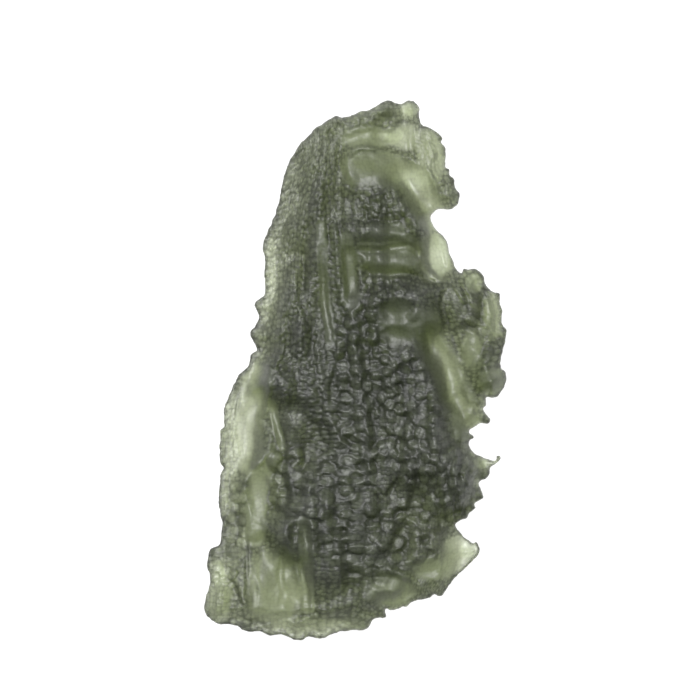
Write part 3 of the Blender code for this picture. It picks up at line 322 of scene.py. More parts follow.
# Hollows on the underside: name, x, y, half width, half height, turn in degrees, depth
UNDER_HOLLOWS = [
    ("under crown", 1.2, 17.4, 3.2, 2.3, 15, 1.1),
    ("under nose", 6.2, 16.6, 1.6, 2.6, -20, 0.8),
    ("under shoulder", -4.2, 15.0, 1.7, 3.2, 12, 0.8),
    ("under window", 5.4, 10.0, 2.0, 2.9, 0, 0.5),
    ("under folds", 0.6, 11.2, 2.9, 2.0, -10, 0.9),
    ("under flange", -5.6, 7.0, 1.6, 3.6, 4, 0.7),
    ("under bulge", 9.0, 3.0, 1.9, 3.0, -15, 0.8),
    ("under waist", -6.6, -0.6, 1.7, 2.8, 20, 0.8),
    ("under lobe", 9.4, -2.6, 1.6, 1.9, 0, 0.6),
    ("under claws", 8.2, -9.0, 1.7, 2.8, 10, 0.9),
    ("under left rim", -8.3, -8.0, 1.6, 3.4, 0, 0.7),
    ("under tail", 6.2, -14.8, 2.7, 1.8, 30, 0.9),
    ("under heel", -9.0, -17.2, 2.0, 2.7, 0, 0.7),
    ("under foot", -3.4, -17.4, 2.9, 2.0, 5, 1.0),
    ("under middle", -3.2, -11.8, 1.9, 2.8, 10, 0.8),
    ("under facet", 2.0, -18.6, 2.1, 1.6, 10, 0.7),
    ("under neck", 3.8, 6.2, 1.7, 2.2, 10, 0.5),
    ("under side", -4.4, 3.0, 1.5, 2.4, 5, 0.5),
]

# Grooves on the underside along the flow of the glass: name, points, half width, depth
UNDER_GROOVES = [
    ("left under groove", [(-2.2, 18.6), (-3.0, 12.0), (-3.8, 6.0), (-5.0, 1.0)], 0.9, 0.6),
    ("middle under groove", [(1.6, 15.0), (2.0, 9.0), (2.0, 5.0)], 0.9, 0.6),
    ("right under groove", [(4.4, 14.0), (6.6, 7.0), (6.8, 1.0), (6.6, -5.4)], 0.9, 0.6),
    ("lower under groove", [(-4.6, -3.6), (-5.4, -9.0), (-6.2, -15.6)], 0.9, 0.6),
    ("tail under groove", [(4.6, -7.6), (3.4, -11.8), (1.4, -15.8)], 0.9, 0.6),
]

# Lines that the glass flowed along, from left to right: the line's number in flow, x and y down it
FLOW_LINES = [
    (0.0, [(-4.7, 18.5), (-6.2, 14.0), (-7.0, 10.0), (-7.4, 5.9), (-7.9, 1.7), (-9.4, -2.5),
           (-10.4, -6.6), (-10.7, -10.8), (-10.7, -15.0), (-11.2, -21.0)]),
    (4.3, [(-3.2, 18.5), (-4.0, 14.0), (-4.5, 10.0), (-4.5, 5.9), (-4.3, 1.7), (-4.7, -2.5),
           (-5.4, -6.6), (-5.7, -10.8), (-6.0, -15.0), (-6.2, -21.0)]),
    (8.7, [(-1.0, 18.5), (-0.9, 14.0), (-0.5, 10.0), (-0.3, 5.9), (0.0, 1.7), (0.5, -2.5),
           (0.8, -6.6), (0.8, -10.8), (0.5, -15.8), (0.0, -21.0)]),
    (13.2, [(3.6, 21.7), (3.3, 14.0), (3.8, 10.0), (4.1, 5.9), (4.6, 1.7), (4.9, -2.5),
            (5.1, -6.6), (5.3, -10.8), (5.1, -15.0), (4.5, -19.1)]),
    (18.5, [(7.0, 20.0), (8.0, 14.0), (9.6, 7.0), (12.0, 1.7), (11.1, -2.5), (10.3, -6.6),
            (9.6, -10.8), (9.5, -15.0), (7.8, -18.3)]),
]

# Smooth places where the etching fades out: name, x, y, half width, half height
SMOOTH_PLACES = [
    ("folds", 2.6, 9.9, 2.9, 2.5),
    ("window", 6.7, 9.5, 1.7, 2.4),
    ("cups", 3.2, 3.9, 1.7, 2.3),
    ("elongated lump", 9.6, 1.7, 0.9, 1.8),
    ("grey lobe", 11.3, -0.9, 1.1, 1.3),
    ("lower left", -6.5, -17.8, 3.0, 3.4),
    ("olive facet", 2.9, -18.2, 2.4, 1.5),
    ("tail", 8.6, -15.4, 1.9, 1.7),
    ("tail left", 6.3, -16.5, 2.0, 1.1),
    ("cap", 1.0, 19.3, 2.6, 1.1),
    ("shelf", 4.1, 19.4, 1.5, 1.2),
    ("claw", 10.8, -7.7, 1.1, 0.6),
    ("layered shoulder", 6.2, 17.6, 1.3, 3.0),
    ("fringe", 11.5, 4.6, 0.9, 2.2),
]

# Smooth bands that wind between the etched places: name, points, half width
SMOOTH_BANDS = [
    ("scoop", [(0.2, 16.6), (2.6, 16.7), (4.4, 16.0), (5.4, 14.6), (6.1, 13.0)], 1.6),
    ("thumb valley", [(-8.05, -0.6), (-8.5, -2.2), (-8.9, -3.7), (-8.9, -5.3), (-8.7, -7.6)], 1.35),
    ("below the thumb", [(-7.4, -7.4), (-7.9, -8.9), (-8.2, -10.2), (-8.4, -13.8)], 1.0),
    ("crescent", [(-6.95, -2.8), (-6.7, -4.4), (-6.1, -6.3)], 0.42),
    ("pale valley", [(5.5, 3.9), (6.5, 1.7), (7.5, 0.3), (7.9, -1.4), (8.7, -3.0), (9.2, -4.3)], 1.5),
    ("green stripe", [(-2.9, 12.0), (-2.7, 7.6), (-2.1, 2.4)], 0.5),
    ("olive stripe", [(-0.8, 10.9), (-0.6, 8.0), (-0.4, 5.7)], 0.7),
    ("lower stripe", [(-4.3, -12.5), (-4.1, -16.0), (-4.0, -19.6)], 0.65),
]

# Etching of one grain: name, pitch across and along the flow, height, seed, and where it is as
# x, y, half width and half height
ETCHINGS = [
    ("grains", 0.36, 0.36, 0.03, 11, [(0.0, 0.0, 60.0, 60.0)]),
    ("bead rows", 0.46, 0.50, 0.17, 12, [(-4.6, 11.5, 3.6, 8.5), (-5.4, 3.4, 3.4, 4.2),
                                         (-1.4, 7.6, 0.7, 5.6), (1.0, 12.6, 1.6, 1.6)]),
    ("ladder", 0.60, 0.36, 0.15, 13, [(-2.7, -3.0, 1.5, 7.4), (-5.6, -0.4, 2.8, 2.2)]),
    ("cobbles", 0.88, 0.94, 0.36, 14, [(0.6, -1.6, 3.0, 8.6), (5.9, -5.6, 3.8, 4.4),
                                       (-2.0, -11.0, 2.4, 4.4), (10.6, 4.6, 1.8, 3.4),
                                       (8.2, -9.8, 2.4, 3.0), (-5.6, -9.6, 1.8, 4.8),
                                       (4.4, -0.8, 1.7, 2.6), (-9.9, -12.6, 1.6, 3.6)]),
    ("scales", 1.10, 0.90, 0.34, 15, [(4.8, -13.4, 2.8, 3.0), (1.0, -14.6, 3.4, 3.6)]),
    ("beads under the folds", 0.56, 0.60, 0.23, 16, [(2.4, 6.7, 2.2, 1.3), (1.5, 3.6, 0.9, 3.4),
                                                     (3.0, 13.6, 3.0, 1.7)]),
    ("crown", 0.62, 0.50, 0.22, 17, [(-0.6, 20.6, 4.0, 1.4), (6.6, 17.8, 1.2, 3.4)]),
    ("rough rim", 0.50, 0.50, 0.15, 18, [(11.8, 1.2, 1.5, 7.0), (9.8, -8.4, 1.6, 4.2),
                                         (-11.1, -9.0, 0.9, 9.0), (-5.0, -21.4, 7.0, 1.3),
                                         (-11.4, -17.6, 1.5, 3.4)]),
]

# Clear chips, where the glass broke lately and isn't etched: name, x, y, half width, half height
CLEAR_CHIPS = [
    ("crown knob", 4.45, 21.8, 0.8, 0.7),
    ("right chip", 9.8, 7.2, 0.75, 0.85),
    ("window", 6.7, 9.5, 1.1, 1.9),
    ("scoop end", 4.6, 15.9, 1.6, 0.9),
    ("heel glint", -11.3, -17.0, 0.5, 0.9),
    ("claw", 11.0, -7.8, 0.9, 0.5),
    ("tail", 9.4, -15.0, 0.8, 0.8),
    ("shelf", 3.1, 19.6, 0.9, 0.55),
]

# Rims that are paler than the rest: name, x, y, half width, half height
PALE_RIMS = [
    ("left flange", -7.6, 8.2, 1.1, 4.4),
    ("lower left flange", -10.9, -5.5, 1.2, 6.5),
    ("heel", -11.6, -18.4, 1.4, 2.8),
    ("foot", -3.4, -21.6, 4.6, 1.1),
]

# Rims with thin layers that run beside the edge: name, x, y, half width, half height
LAYERED_RIMS = [
    ("left flange", -7.4, 8.6, 1.6, 4.8),
    ("lower left flange", -10.6, -6.0, 1.6, 6.0),
    ("top right", 6.6, 17.6, 2.2, 3.6),
    ("right fringe", 11.6, 4.6, 1.7, 3.2),
]


def blend(a, b, at_a, at_b, at):
    """The value between a and b, which stand at at_a and at_b."""
    return (a * (at_b - at) + b * (at - at_a)) / (at_b - at_a)


def catmull_rom_point(controls, knots, at):
    """One point of the curve between the second and third of four control points."""
    first = [blend(controls[i], controls[i + 1], knots[i], knots[i + 1], at) for i in range(3)]
    second = [blend(first[i], first[i + 1], knots[i], knots[i + 2], at) for i in range(2)]
    return blend(second[0], second[1], knots[1], knots[2], at)


def smooth_curve(points, step, closed=False):
    """Points about a step apart along a centripetal curve through the given points."""
    given = [np.array(p, dtype=float) for p in points]
    count = len(given)
    curve = []
    for i in range(count if closed else count - 1):
        p1 = given[i]
        p2 = given[(i + 1) % count]
        p0 = given[i - 1] if closed or i > 0 else 2 * p1 - p2
        p3 = given[(i + 2) % count] if closed or i + 2 < count else 2 * p2 - p1
        knots = [0.0]
        for a, b in ((p0, p1), (p1, p2), (p2, p3)):
            knots.append(knots[-1] + math.sqrt(np.linalg.norm(b - a)))
        pieces = max(1, round(float(np.linalg.norm(p2 - p1)) / step))
        for k in range(pieces):
            at = knots[1] + (knots[2] - knots[1]) * k / pieces
            curve.append(catmull_rom_point((p0, p1, p2, p3), knots, at))
    if not closed:
        curve.append(given[-1])
    return np.array(curve)


def nearest_on_line(x, y, line):
    """Distance from each place to a row of points, and how far along the row the nearest one is."""
    nearest = np.full(x.shape, np.inf)
    share = np.zeros(x.shape)
    runs = len(line) - 1
    for number, ((ax, ay), (bx, by)) in enumerate(zip(line[:-1], line[1:])):
        run_x = bx - ax
        run_y = by - ay
        along = ((x - ax) * run_x + (y - ay) * run_y) / (run_x * run_x + run_y * run_y)
        along = np.clip(along, 0.0, 1.0)
        distance = np.hypot(x - ax - along * run_x, y - ay - along * run_y)
        closer = distance < nearest
        nearest[closer] = distance[closer]
        share[closer] = (number + along[closer]) / runs
    return nearest, share


def smoothstep(low, high, value):
    """0 below low, 1 above high and a smooth rise between them."""
    share = np.clip((value - low) / (high - low), 0.0, 1.0)
    return share * share * (3.0 - 2.0 * share)


def ellipse_share(x, y, at_x, at_y, half_width, half_height, turn=0.0):
    """0 at the centre of a turned ellipse and 1 on its edge."""
    cos_turn = math.cos(math.radians(turn))
    sin_turn = math.sin(math.radians(turn))
    along = ((x - at_x) * cos_turn + (y - at_y) * sin_turn) / half_width
    across = ((y - at_y) * cos_turn - (x - at_x) * sin_turn) / half_height
    return np.hypot(along, across)


def bump(share):
    """A rounded bump that is 1 in its middle and 0 from its edge on."""
    return np.clip(1.0 - share * share, 0.0, 1.0) ** 1.4


def soft_noise(x, y, pitch, seed):
    """Smooth noise from -1 to 1 with humps about a pitch apart."""
    luck = np.random.default_rng(seed).uniform(-1.0, 1.0, (CELLS, CELLS))
    column = np.floor(x / pitch).astype(int)
    row = np.floor(y / pitch).astype(int)
    across = smoothstep(0.0, 1.0, x / pitch - column)
    along = smoothstep(0.0, 1.0, y / pitch - row)
    left = column % CELLS
    right = (column + 1) % CELLS
    below = row % CELLS
    above = (row + 1) % CELLS
    low = luck[left, below] * (1.0 - across) + luck[right, below] * across
    high = luck[left, above] * (1.0 - across) + luck[right, above] * across
    return low * (1.0 - along) + high * along


def station_values(x, y):
    """Thickness, flange width and rise at each place, from the nearest stations."""
    weights = []
    for _, at_x, at_y, reach, _, _, _ in STATIONS:
        weights.append(np.exp(-((x - at_x) ** 2 + (y - at_y) ** 2) / (2.0 * reach * reach)) + 1e-12)
    weights = np.array(weights)
    weights /= weights.sum(axis=0)
    values = np.array([station[4:7] for station in STATIONS])
    return values.T @ weights


def flow_place(x, y):
    """How far across the flow lines each place lies."""
    crossings = []
    for _, points in FLOW_LINES:
        down = np.array(points)[::-1]
        crossings.append(np.interp(y, down[:, 1], down[:, 0]))
    beyond_left = np.minimum(x - crossings[0], 0.0)
    beyond_right = np.maximum(x - crossings[-1], 0.0)
    place = FLOW_LINES[0][0] + beyond_left + beyond_right
    for k in range(len(FLOW_LINES) - 1):
        span = FLOW_LINES[k + 1][0] - FLOW_LINES[k][0]
        share = (x - crossings[k]) / (crossings[k + 1] - crossings[k])
        place += span * np.clip(share, 0.0, 1.0)
    return place


def etched_share(x, y):
    """1 where the glass is etched and 0 in the smooth places, with ragged borders."""
    share = np.ones(x.shape)
    ragged = RAGGEDNESS * soft_noise(x, y, 0.5, 61)
    for _, at_x, at_y, half_width, half_height in SMOOTH_PLACES:
        within = ellipse_share(x, y, at_x, at_y, half_width, half_height) + ragged
        share *= smoothstep(0.65, 1.15, within)
    for _, points, half_width in SMOOTH_BANDS:
        distance, _ = nearest_on_line(x, y, smooth_curve(points, half_width))
        share *= smoothstep(0.65, 1.15, distance / half_width + ragged)
    return share


def columns_of_beads(x, y):
    """Rounded rows of beads that follow the flow lines, and fade out in the smooth places."""
    place = flow_place(x, y) + COLUMN_WANDER * soft_noise(x, y, COLUMN_WANDER_PITCH, 41)
    across = 2.0 * math.pi * place / COLUMN_PITCH
    row = y + BEAD_WANDER * soft_noise(x, y, BEAD_WANDER_PITCH, 42)
    along = 2.0 * math.pi * row / BEAD_PITCH
    return COLUMN_DEPTH * etched_share(x, y) * (np.cos(across) + 0.8 * np.cos(along))


def carving(x, y, ellipses, lines):
    """The height that a list of ellipses and a list of lines add to a surface."""
    height = np.zeros(x.shape)
    for _, at_x, at_y, half_width, half_height, turn, rise in ellipses:
        height += rise * bump(ellipse_share(x, y, at_x, at_y, half_width, half_height, turn))
    for _, points, half_width, rise in lines:
        distance, along = nearest_on_line(x, y, smooth_curve(points, half_width))
        taper = smoothstep(-0.05, LINE_TAPER, np.minimum(along, 1.0 - along))
        height += rise * taper * bump(distance / half_width)
    return height


def within_any(x, y, places):
    """1 inside any of the named ellipses and 0 outside them all."""
    share = np.zeros(x.shape)
    for _, at_x, at_y, half_width, half_height in places:
        within = ellipse_share(x, y, at_x, at_y, half_width, half_height)
        share = np.maximum(share, 1.0 - smoothstep(0.75, 1.1, within))
    return share


def layers_beside_rim(x, y, inset):
    """Thin ledges that run beside the rim, as the glass lies in layers there."""
    wander = 0.12 * soft_noise(x, y, 1.3, 91) + 0.05 * soft_noise(x, y, 0.4, 92)
    step = (inset + wander) / LAMINA_PITCH
    ledge = 1.0 - (step - np.floor(step)) ** 2
    return LAMINA_HEIGHT * (ledge - 0.7) * within_any(x, y, LAYERED_RIMS)


def cobbles(u, v, pitch_u, pitch_v, seed):
    """Domes of cells in staggered columns: from 0 in the furrows up to 1 in a cell's middle."""
    column = u / pitch_u
    base_column = np.floor(column).astype(int)
    random = np.random.default_rng(seed)
    luck = random.random((CELLS, CELLS, 3))
    stagger = random.random(CELLS)
    nearest = np.full(u.shape, np.inf)
    height = np.zeros(u.shape)
    for step_column in (-1, 0, 1):
        cell_column = base_column + step_column
        row = v / pitch_v + stagger[cell_column % CELLS]
        base_row = np.floor(row).astype(int)
        for step_row in (-1, 0, 1):
            cell_row = base_row + step_row
            cell = luck[cell_column % CELLS, cell_row % CELLS]
            middle_column = cell_column + 0.5 + CELL_JITTER * (cell[..., 0] - 0.5)
            middle_row = cell_row + 0.5 + CELL_JITTER * (cell[..., 1] - 0.5)
            distance = np.hypot(column - middle_column, row - middle_row)
            closer = distance < nearest
            height = np.where(closer, LOWEST_BEAD + (1.0 - LOWEST_BEAD) * cell[..., 2], height)
            nearest = np.minimum(nearest, distance)
    return height * np.clip(1.0 - (nearest / CELL_REACH) ** DOME_FLATNESS, 0.0, 1.0)


def fine_etching(x, y, seed_shift=0):
    """Height of the grains, beads and cobbles along the flow lines, and how near a bead's top it is, which
    later places a painted highlight on the tops and painted shade in the furrows.
    """
    across = flow_place(x, y)
    total = np.zeros(x.shape)
    most = np.full(x.shape, 1e-6)
    ragged = RAGGEDNESS * soft_noise(x, y, 0.9, 62 + seed_shift)
    for _, pitch_u, pitch_v, height, seed, places in ETCHINGS:
        mask = np.zeros(x.shape)
        for place in places:
            within = ellipse_share(x, y, *place) + ragged
            mask = np.maximum(mask, 1.0 - smoothstep(0.75, 1.1, within))
        total += height * mask * cobbles(across, y, pitch_u, pitch_v, seed + seed_shift)
        most += height * mask
    tops = smoothstep(0.2, 0.95, total / (TYPICAL_TOP * most))
    return total * (SMOOTH_GRAIN + (1.0 - SMOOTH_GRAIN) * etched_share(x, y)), tops


def wandering(x, y):
    """Places shifted a little to and fro, so that no crest or groove runs as if ruled."""
    shift_x = WANDER * soft_noise(x, y, WANDER_PITCH, 71)
    shift_x += WANDER_FINE * soft_noise(x, y, WANDER_FINE_PITCH, 72)
    shift_y = WANDER * soft_noise(x, y, WANDER_PITCH, 73)
    shift_y += WANDER_FINE * soft_noise(x, y, WANDER_FINE_PITCH, 74)
    return x + shift_x, y + shift_y


def top_relief(x, y):
    """Scoops, lumps, ridges and rows of the top, without its fine etching."""
    wander_x, wander_y = wandering(x, y)
    return columns_of_beads(x, y) + carving(wander_x, wander_y, LUMPS, LINES)


def underside(x, y):
    """Height of the underside: a flat resting spot, and a shallow bowl with hollows round it."""
    spot = ellipse_share(x, y, *SPOT_AT, *SPOT_HALF_SIZE)
    beyond = np.maximum(spot - 1.0, 0.0)
    side = np.abs(x - SPOT_AT[0]) / (STONE_WIDTH / 2.0)
    end = np.abs(y - SPOT_AT[1]) / (STONE_LENGTH / 2.0)
    bowl = SIDE_LIFT * side ** 1.6 + END_LIFT * end ** 1.6
    height = SPOT_STEP * smoothstep(0.0, 0.15, beyond) + bowl * smoothstep(0.0, 1.0, beyond)
    relief = carving(x, y, UNDER_HOLLOWS, UNDER_GROOVES) - columns_of_beads(x, -y)
    etching, _ = fine_etching(x, y, 50)
    furrows = np.maximum(UNDER_ETCHING - etching, 0.0)
    return height + relief * smoothstep(0.05, 0.4, beyond) + furrows


def glass_heights(x, y, inset):
    """Heights of the underside and the top at places that lie an inset inside the rim."""
    thickness, flange, rise = station_values(x, y)
    uneven = inset * (1.0 + CLIMB_WANDER * soft_noise(x, y, CLIMB_WANDER_PITCH, 51))
    start = RIM_START * (1.0 - smoothstep(0.0, 0.35, flange))
    climb = start + (1.0 - start) * smoothstep(0.0, 1.0, (uneven - flange) / rise)
    thickness = FLANGE_GLASS + (thickness - FLANGE_GLASS) * climb
    edge = np.clip(inset / RIM_ROUNDING, 0.0, 1.0)
    roundness = np.sqrt(1.0 - (1.0 - edge) ** 2)
    plain = underside(x, y)
    low = plain + RIM_SHARE_BELOW * thickness * (1.0 - roundness)
    high = plain + thickness * (RIM_SHARE_BELOW + (1.0 - RIM_SHARE_BELOW) * roundness)
    high += top_relief(x, y) * smoothstep(0.0, 0.8, inset)
    etching, _ = fine_etching(x, y)
    fine = etching - TOP_ETCHING + layers_beside_rim(x, y, inset)
    high += fine * smoothstep(0.0, 0.4, inset)
    over = np.maximum(high - STONE_HEIGHT, 0.0)
    high += BEAD_HEADROOM * np.tanh(over / BEAD_HEADROOM) - over
    return low, np.maximum(high, low + LEAST_GLASS * roundness)


def rim_points():
    """The outline as one closed row of points, a little ragged between its corners."""
    corners = [point for stretch in OUTLINE.values() for point in stretch]
    rim = smooth_curve(corners, TOP_SPACING, closed=True)
    along = np.roll(rim, -1, axis=0) - np.roll(rim, 1, axis=0)
    outward = np.stack([along[:, 1], -along[:, 0]], axis=1) / np.linalg.norm(along, axis=1)[:, None]
    ragged = soft_noise(rim[:, 0], rim[:, 1], 0.42, 81) + 0.5 * soft_noise(rim[:, 0], rim[:, 1], 0.2, 82)
    return rim + outward * (RIM_RAGGED * (ragged - 0.6))[:, None]


def inside_outline(x, y, rim):
    """Whether each place is inside the outline, by counting the rim's crossings."""
    inside = np.zeros(x.shape, dtype=bool)
    for (ax, ay), (bx, by) in zip(rim, np.roll(rim, -1, axis=0)):
        if ay != by:
            row = (y >= min(ay, by)) & (y < max(ay, by))
            inside[row] ^= x[row] < ax + (y[row] - ay) * (bx - ax) / (by - ay)
    return inside


def lattice_inside(rim, spacing):
    """Points of a triangular lattice that lie well inside the rim."""
    row_step = spacing * math.sqrt(3.0) / 2.0
    rows = np.arange(-STONE_LENGTH / 2.0, STONE_LENGTH / 2.0, row_step)
    columns = np.arange(-STONE_WIDTH / 2.0, STONE_WIDTH / 2.0, spacing)
    x, y = np.meshgrid(columns, rows)
    x = x + (np.arange(len(rows)) % 2)[:, None] * spacing / 2.0
    x, y = x.ravel(), y.ravel()
    keep = inside_outline(x, y, rim)
    x, y = x[keep], y[keep]
    inset, _ = nearest_on_line(x, y, np.vstack([rim, rim[:1]]))
    clear = inset > 0.55 * spacing
    return np.stack([x[clear], y[clear]], axis=1)


def triangles_between(rim, interior):
    """Triangles over the whole outline, none of which joins two rim points across the glass."""
    count = len(rim)
    rim_edges = [(i, (i + 1) % count) for i in range(count)]
    while True:
        places = np.vstack([rim, interior])
        found = delaunay_2d_cdt([Vector(p) for p in places], rim_edges, [], 1, 1e-7)
        source = np.array([origin[0] for origin in found[3]])
        faces = source[np.array([list(face) for face in found[2]])]
        pairs = np.vstack([faces[:, [0, 1]], faces[:, [1, 2]], faces[:, [2, 0]]])
        gap = (pairs[:, 1] - pairs[:, 0]) % count
        chords = (pairs < count).all(axis=1) & (gap != 1) & (gap != count - 1)
        if not chords.any():
            return places, faces
        pairs = np.unique(np.sort(pairs[chords], axis=1), axis=0)
        interior = np.vstack([interior, (rim[pairs[:, 0]] + rim[pairs[:, 1]]) / 2.0])


def side_of_glass(rim, spacing, upper):
    """Points, triangles and surface values of the top or the underside, rim points first."""
    places, faces = triangles_between(rim, lattice_inside(rim, spacing))
    x, y = places[:, 0], places[:, 1]
    inset, _ = nearest_on_line(x, y, np.vstack([rim, rim[:1]]))
    inset[:len(rim)] = 0.0
    low, high = glass_heights(x, y, inset)
    points = np.stack([x, y, high if upper else low], axis=1)
    _, tops = fine_etching(x, y, 0 if upper else 50)
    relief = top_relief(x, y) if upper else np.zeros(x.shape)
    proud = np.clip(0.5 + relief / RELIEF_RANGE, 0.0, 1.0)
    etched = etched_share(x, y)
    clear = within_any(x, y, CLEAR_CHIPS)
    # The crest value paints a highlight onto raised places and bead tops and shade into furrows and low
    # places; it also sets how dull the surface is.
    crests_for_painted_light = np.maximum(0.7 * tops + 0.3 * proud, SMOOTH_CREST * (1.0 - etched))
    pale = RIM_PALENESS * within_any(x, y, PALE_RIMS)
    values = {"crest_painted_light_and_dullness": 0.5 * crests_for_painted_light + 0.5 * clear + pale, "etched": etched * (1.0 - clear),
              "flow_x": flow_place(x, y), "flow_y": y}
    return points, faces, values


def make_stone():
    """The closed mesh: a finely meshed top and an underside that share the points of the rim."""
    rim = rim_points()
    count = len(rim)
    top_points, top_faces, top_values = side_of_glass(rim, TOP_SPACING, True)
    under_points, under_faces, under_values = side_of_glass(rim, UNDER_SPACING, False)
    under_faces = under_faces[:, ::-1]
    shift = len(top_points) - count
    under_faces = np.where(under_faces < count, under_faces, under_faces + shift)
    points = METRES_PER_MM * np.vstack([top_points, under_points[count:]])
    faces = np.vstack([top_faces, under_faces])
    data = bpy.data.meshes.new("moldavite_glass")
    data.from_pydata(points.tolist(), [], faces.tolist())
    data.shade_smooth()
    for name, top in top_values.items():
        values = data.attributes.new(name, "FLOAT", "POINT")
        values.data.foreach_set("value", np.concatenate([top, under_values[name][count:]]))
    stone = bpy.data.objects.new("moldavite_glass", data)
    bpy.context.scene.collection.objects.link(stone)
    print("triangles", len(faces), "top", len(top_faces))
    return stone


# Materials
GLASS_INDEX = 1.5
ABSORPTION_PER_MM = (0.43, 0.388, 0.60)
ABSORPTION_HEADROOM = 1.05
SEE_THROUGH = 0.96
# How light and how dull the surface is in its furrows, on its crests and in its chips; the dark furrow
# colour is painted shade and the pale crest colour a painted highlight
TINTS_WITH_PAINTED_SHADE_AND_HIGHLIGHT = [(0.08, 0.09, 0.06), (0.70, 0.735, 0.60), (0.88, 0.93, 0.78)]
DULLNESS = (0.62, 0.53, 0.45)
GRAIN_PITCH_MM = 0.27
GRAIN_HEIGHT_MM = 0.045
GRAIN_RANDOMNESS = 0.8
GRAIN_ROUNDNESS = 2.0
SMOOTH_GRAIN_STRENGTH = 0.45
# Painted shade in the seams between grains: how dark, and over which part of a cell
SEAM_PAINTED_SHADE = 0.55
SEAM_PAINTED_SHADE_RANGE = (0.3, 0.75)


def absorb_light(tree):
    """Plain absorption inside the glass, from how much each colour fades in a millimetre."""
    strongest = max(ABSORPTION_PER_MM) * ABSORPTION_HEADROOM
    absorption = tree.nodes.new("ShaderNodeVolumeAbsorption")
    colour = [1.0 - rate / strongest for rate in ABSORPTION_PER_MM]
    absorption.inputs["Color"].default_value = (*colour, 1.0)
    absorption.inputs["Density"].default_value = strongest / METRES_PER_MM
    tree.links.new(absorption.outputs["Volume"], tree.nodes["Material Output"].inputs["Volume"])


def ramp_over_crests(tree, colours):
    """A colour for the furrows, the crests and the clear chips, blended between them: painted shade in the
    furrows and a painted highlight on the crests, where it colours the glass.
    """
    crest_painted_light_and_dullness = tree.nodes.new("ShaderNodeAttribute")
    crest_painted_light_and_dullness.attribute_name = "crest_painted_light_and_dullness"
    ramp = tree.nodes.new("ShaderNodeValToRGB")
    ramp.color_ramp.elements.new(0.5)
    for element, colour in zip(ramp.color_ramp.elements, colours):
        element.color = (*colour, 1.0)
    tree.links.new(crest_painted_light_and_dullness.outputs["Fac"], ramp.inputs["Fac"])
    return ramp.outputs["Color"]


def add_grain(tree, shader):
    """A grain of tiny pits that dents the surface and darkens its seams where it is etched, which is
    painted shade between the grains.
    """
    place = tree.nodes.new("ShaderNodeCombineXYZ")
    for name, axis in (("flow_x", "X"), ("flow_y", "Y")):
        flow = tree.nodes.new("ShaderNodeAttribute")
        flow.attribute_name = name
        tree.links.new(flow.outputs["Fac"], place.inputs[axis])
    cells = tree.nodes.new("ShaderNodeTexVoronoi")
    cells.voronoi_dimensions = "2D"
    cells.inputs["Scale"].default_value = 1.0 / GRAIN_PITCH_MM
    cells.inputs["Randomness"].default_value = GRAIN_RANDOMNESS
    tree.links.new(place.outputs["Vector"], cells.inputs["Vector"])
    etched = tree.nodes.new("ShaderNodeAttribute")
    etched.attribute_name = "etched"
    strength = tree.nodes.new("ShaderNodeMapRange")
    strength.inputs["To Min"].default_value = SMOOTH_GRAIN_STRENGTH
    strength.inputs["To Max"].default_value = 1.0
    tree.links.new(etched.outputs["Fac"], strength.inputs["Value"])
    domes = tree.nodes.new("ShaderNodeMath")
    domes.operation = "POWER"
    domes.inputs[1].default_value = GRAIN_ROUNDNESS
    tree.links.new(cells.outputs["Distance"], domes.inputs[0])
    relief = tree.nodes.new("ShaderNodeBump")
    relief.invert = True
    relief.inputs["Distance"].default_value = GRAIN_HEIGHT_MM * METRES_PER_MM
    tree.links.new(strength.outputs["Result"], relief.inputs["Strength"])
    tree.links.new(domes.outputs["Value"], relief.inputs["Height"])
    tree.links.new(relief.outputs["Normal"], shader.inputs["Normal"])
    # Painted shade: the colour darkens towards each grain's seam, most where the glass is etched.
    painted_seam_shade = tree.nodes.new("ShaderNodeMapRange")
    painted_seam_shade.inputs["From Min"].default_value = SEAM_PAINTED_SHADE_RANGE[0]
    painted_seam_shade.inputs["From Max"].default_value = SEAM_PAINTED_SHADE_RANGE[1]
    painted_seam_shade.inputs["To Min"].default_value = 1.0
    painted_seam_shade.inputs["To Max"].default_value = SEAM_PAINTED_SHADE
    tree.links.new(cells.outputs["Distance"], painted_seam_shade.inputs["Value"])
    tree.links.new(painted_seam_shade.outputs["Result"], tree.nodes["painted_shade_mix"].inputs[7])
    tree.links.new(strength.outputs["Result"], tree.nodes["painted_shade_mix"].inputs[0])


def glass_material():
    """Green natural glass with a satin, finely grained surface that is duller in its furrows, with painted
    shade in its furrows and seams and a painted highlight on its crests.
    """
    material = bpy.data.materials.new("green_glass")
    material.use_nodes = True
    tree = material.node_tree
    shader = tree.nodes["Principled BSDF"]
    shader.inputs["Transmission Weight"].default_value = SEE_THROUGH
    shader.inputs["IOR"].default_value = GLASS_INDEX
    absorb_light(tree)
    # Painted light and shade: the crest colour multiplied by the darker seams.
    painted_shade_mix = tree.nodes.new("ShaderNodeMix")
    painted_shade_mix.name = "painted_shade_mix"
    painted_shade_mix.data_type = "RGBA"
    painted_shade_mix.blend_type = "MULTIPLY"
    tree.links.new(ramp_over_crests(tree, TINTS_WITH_PAINTED_SHADE_AND_HIGHLIGHT), painted_shade_mix.inputs[6])
    tree.links.new(painted_shade_mix.outputs[2], shader.inputs["Base Color"])
    dullness = [(dull, dull, dull) for dull in DULLNESS]
    tree.links.new(ramp_over_crests(tree, dullness), shader.inputs["Roughness"])
    add_grain(tree, shader)
    return material


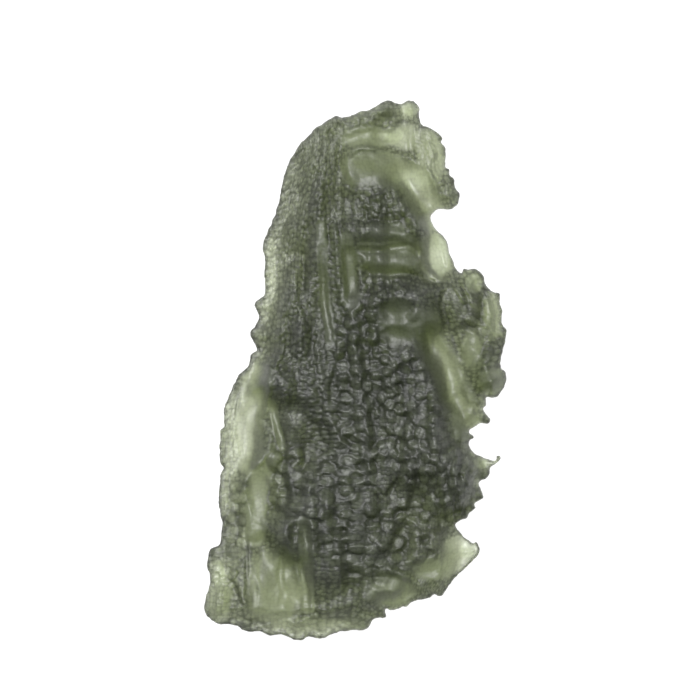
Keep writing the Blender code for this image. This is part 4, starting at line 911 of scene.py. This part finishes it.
def floor_material():
    """A plain white surface that is lit well from behind, like a viewing table."""
    material = bpy.data.materials.new("white_floor")
    material.use_nodes = True
    shader = material.node_tree.nodes["Principled BSDF"]
    shader.inputs["Base Color"].default_value = (0.1, 0.1, 0.1, 1.0)
    shader.inputs["Roughness"].default_value = 0.9
    shader.inputs["Specular IOR Level"].default_value = 0.0
    shader.inputs["Emission Color"].default_value = (1.0, 1.0, 1.0, 1.0)
    shader.inputs["Emission Strength"].default_value = 1.0
    return material


# The stage
FLOOR_HALF_SIZE = 0.6
CAMERA_LENS = 200.0
SENSOR = 36.0
PHOTO_WIDTH_MM = 700.0 / 12.0
PHOTO_CENTRE_MM = (-0.5, 1.7)
CAMERA_TARGET_HEIGHT_MM = 4.5


def make_floor():
    """A wide plain floor for the stone to lie on."""
    half = FLOOR_HALF_SIZE
    data = bpy.data.meshes.new("floor")
    corners = [(-half, -half, 0.0), (half, -half, 0.0), (half, half, 0.0), (-half, half, 0.0)]
    data.from_pydata(corners, [], [(0, 1, 2, 3)])
    data.materials.append(floor_material())
    floor = bpy.data.objects.new("floor", data)
    bpy.context.scene.collection.objects.link(floor)


def soft_box(name, azimuth, elevation, distance, size, power, colour=(1.0, 1.0, 1.0)):
    """A square area light that faces the stone from a direction given in degrees."""
    lamp = bpy.data.lights.new(name, "AREA")
    lamp.size = size
    lamp.energy = power
    lamp.color = colour
    light = bpy.data.objects.new(name, lamp)
    turn = math.radians(azimuth)
    height = math.radians(elevation)
    away = Vector((math.sin(turn) * math.cos(height), math.cos(turn) * math.cos(height), math.sin(height)))
    light.location = away * distance
    light.rotation_mode = "QUATERNION"
    light.rotation_quaternion = away.to_track_quat("Z", "Y")
    bpy.context.scene.collection.objects.link(light)


def light_studio():
    """A pale surrounding and two soft boxes."""
    world = bpy.data.worlds.new("studio")
    world.use_nodes = True
    world.node_tree.nodes["Background"].inputs["Color"].default_value = (0.9, 0.93, 1.0, 1.0)
    world.node_tree.nodes["Background"].inputs["Strength"].default_value = 0.3
    bpy.context.scene.world = world
    soft_box("upper_left_box", -30.0, 60.0, 0.6, 0.35, 9.0, (0.98, 0.98, 1.0))
    soft_box("right_box", 100.0, 50.0, 0.6, 0.35, 1.2)


def place_camera():
    """A camera that looks straight down, as the photo does."""
    camera_data = bpy.data.cameras.new("camera")
    camera_data.lens = CAMERA_LENS
    camera_data.sensor_width = SENSOR
    camera = bpy.data.objects.new("camera", camera_data)
    half_angle = math.atan(SENSOR / 2.0 / CAMERA_LENS)
    distance = PHOTO_WIDTH_MM / 2.0 / math.tan(half_angle) + CAMERA_TARGET_HEIGHT_MM
    camera.location = [METRES_PER_MM * value for value in (*PHOTO_CENTRE_MM, distance)]
    camera_data.clip_start = 0.01
    camera_data.clip_end = 10.0
    bpy.context.scene.collection.objects.link(camera)
    bpy.context.scene.camera = camera


def render_settings():
    """Enough bounces for light to get through the glass."""
    scene = bpy.context.scene
    scene.view_settings.view_transform = "Standard"
    scene.cycles.max_bounces = 32
    scene.cycles.transmission_bounces = 32
    scene.cycles.glossy_bounces = 16
    scene.cycles.diffuse_bounces = 4
    scene.cycles.caustics_refractive = True
    scene.cycles.caustics_reflective = True


stone = make_stone()
stone.data.materials.append(glass_material())
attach(stone, "root")
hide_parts("moldavite")
make_floor()
light_studio()
place_camera()
render_settings()
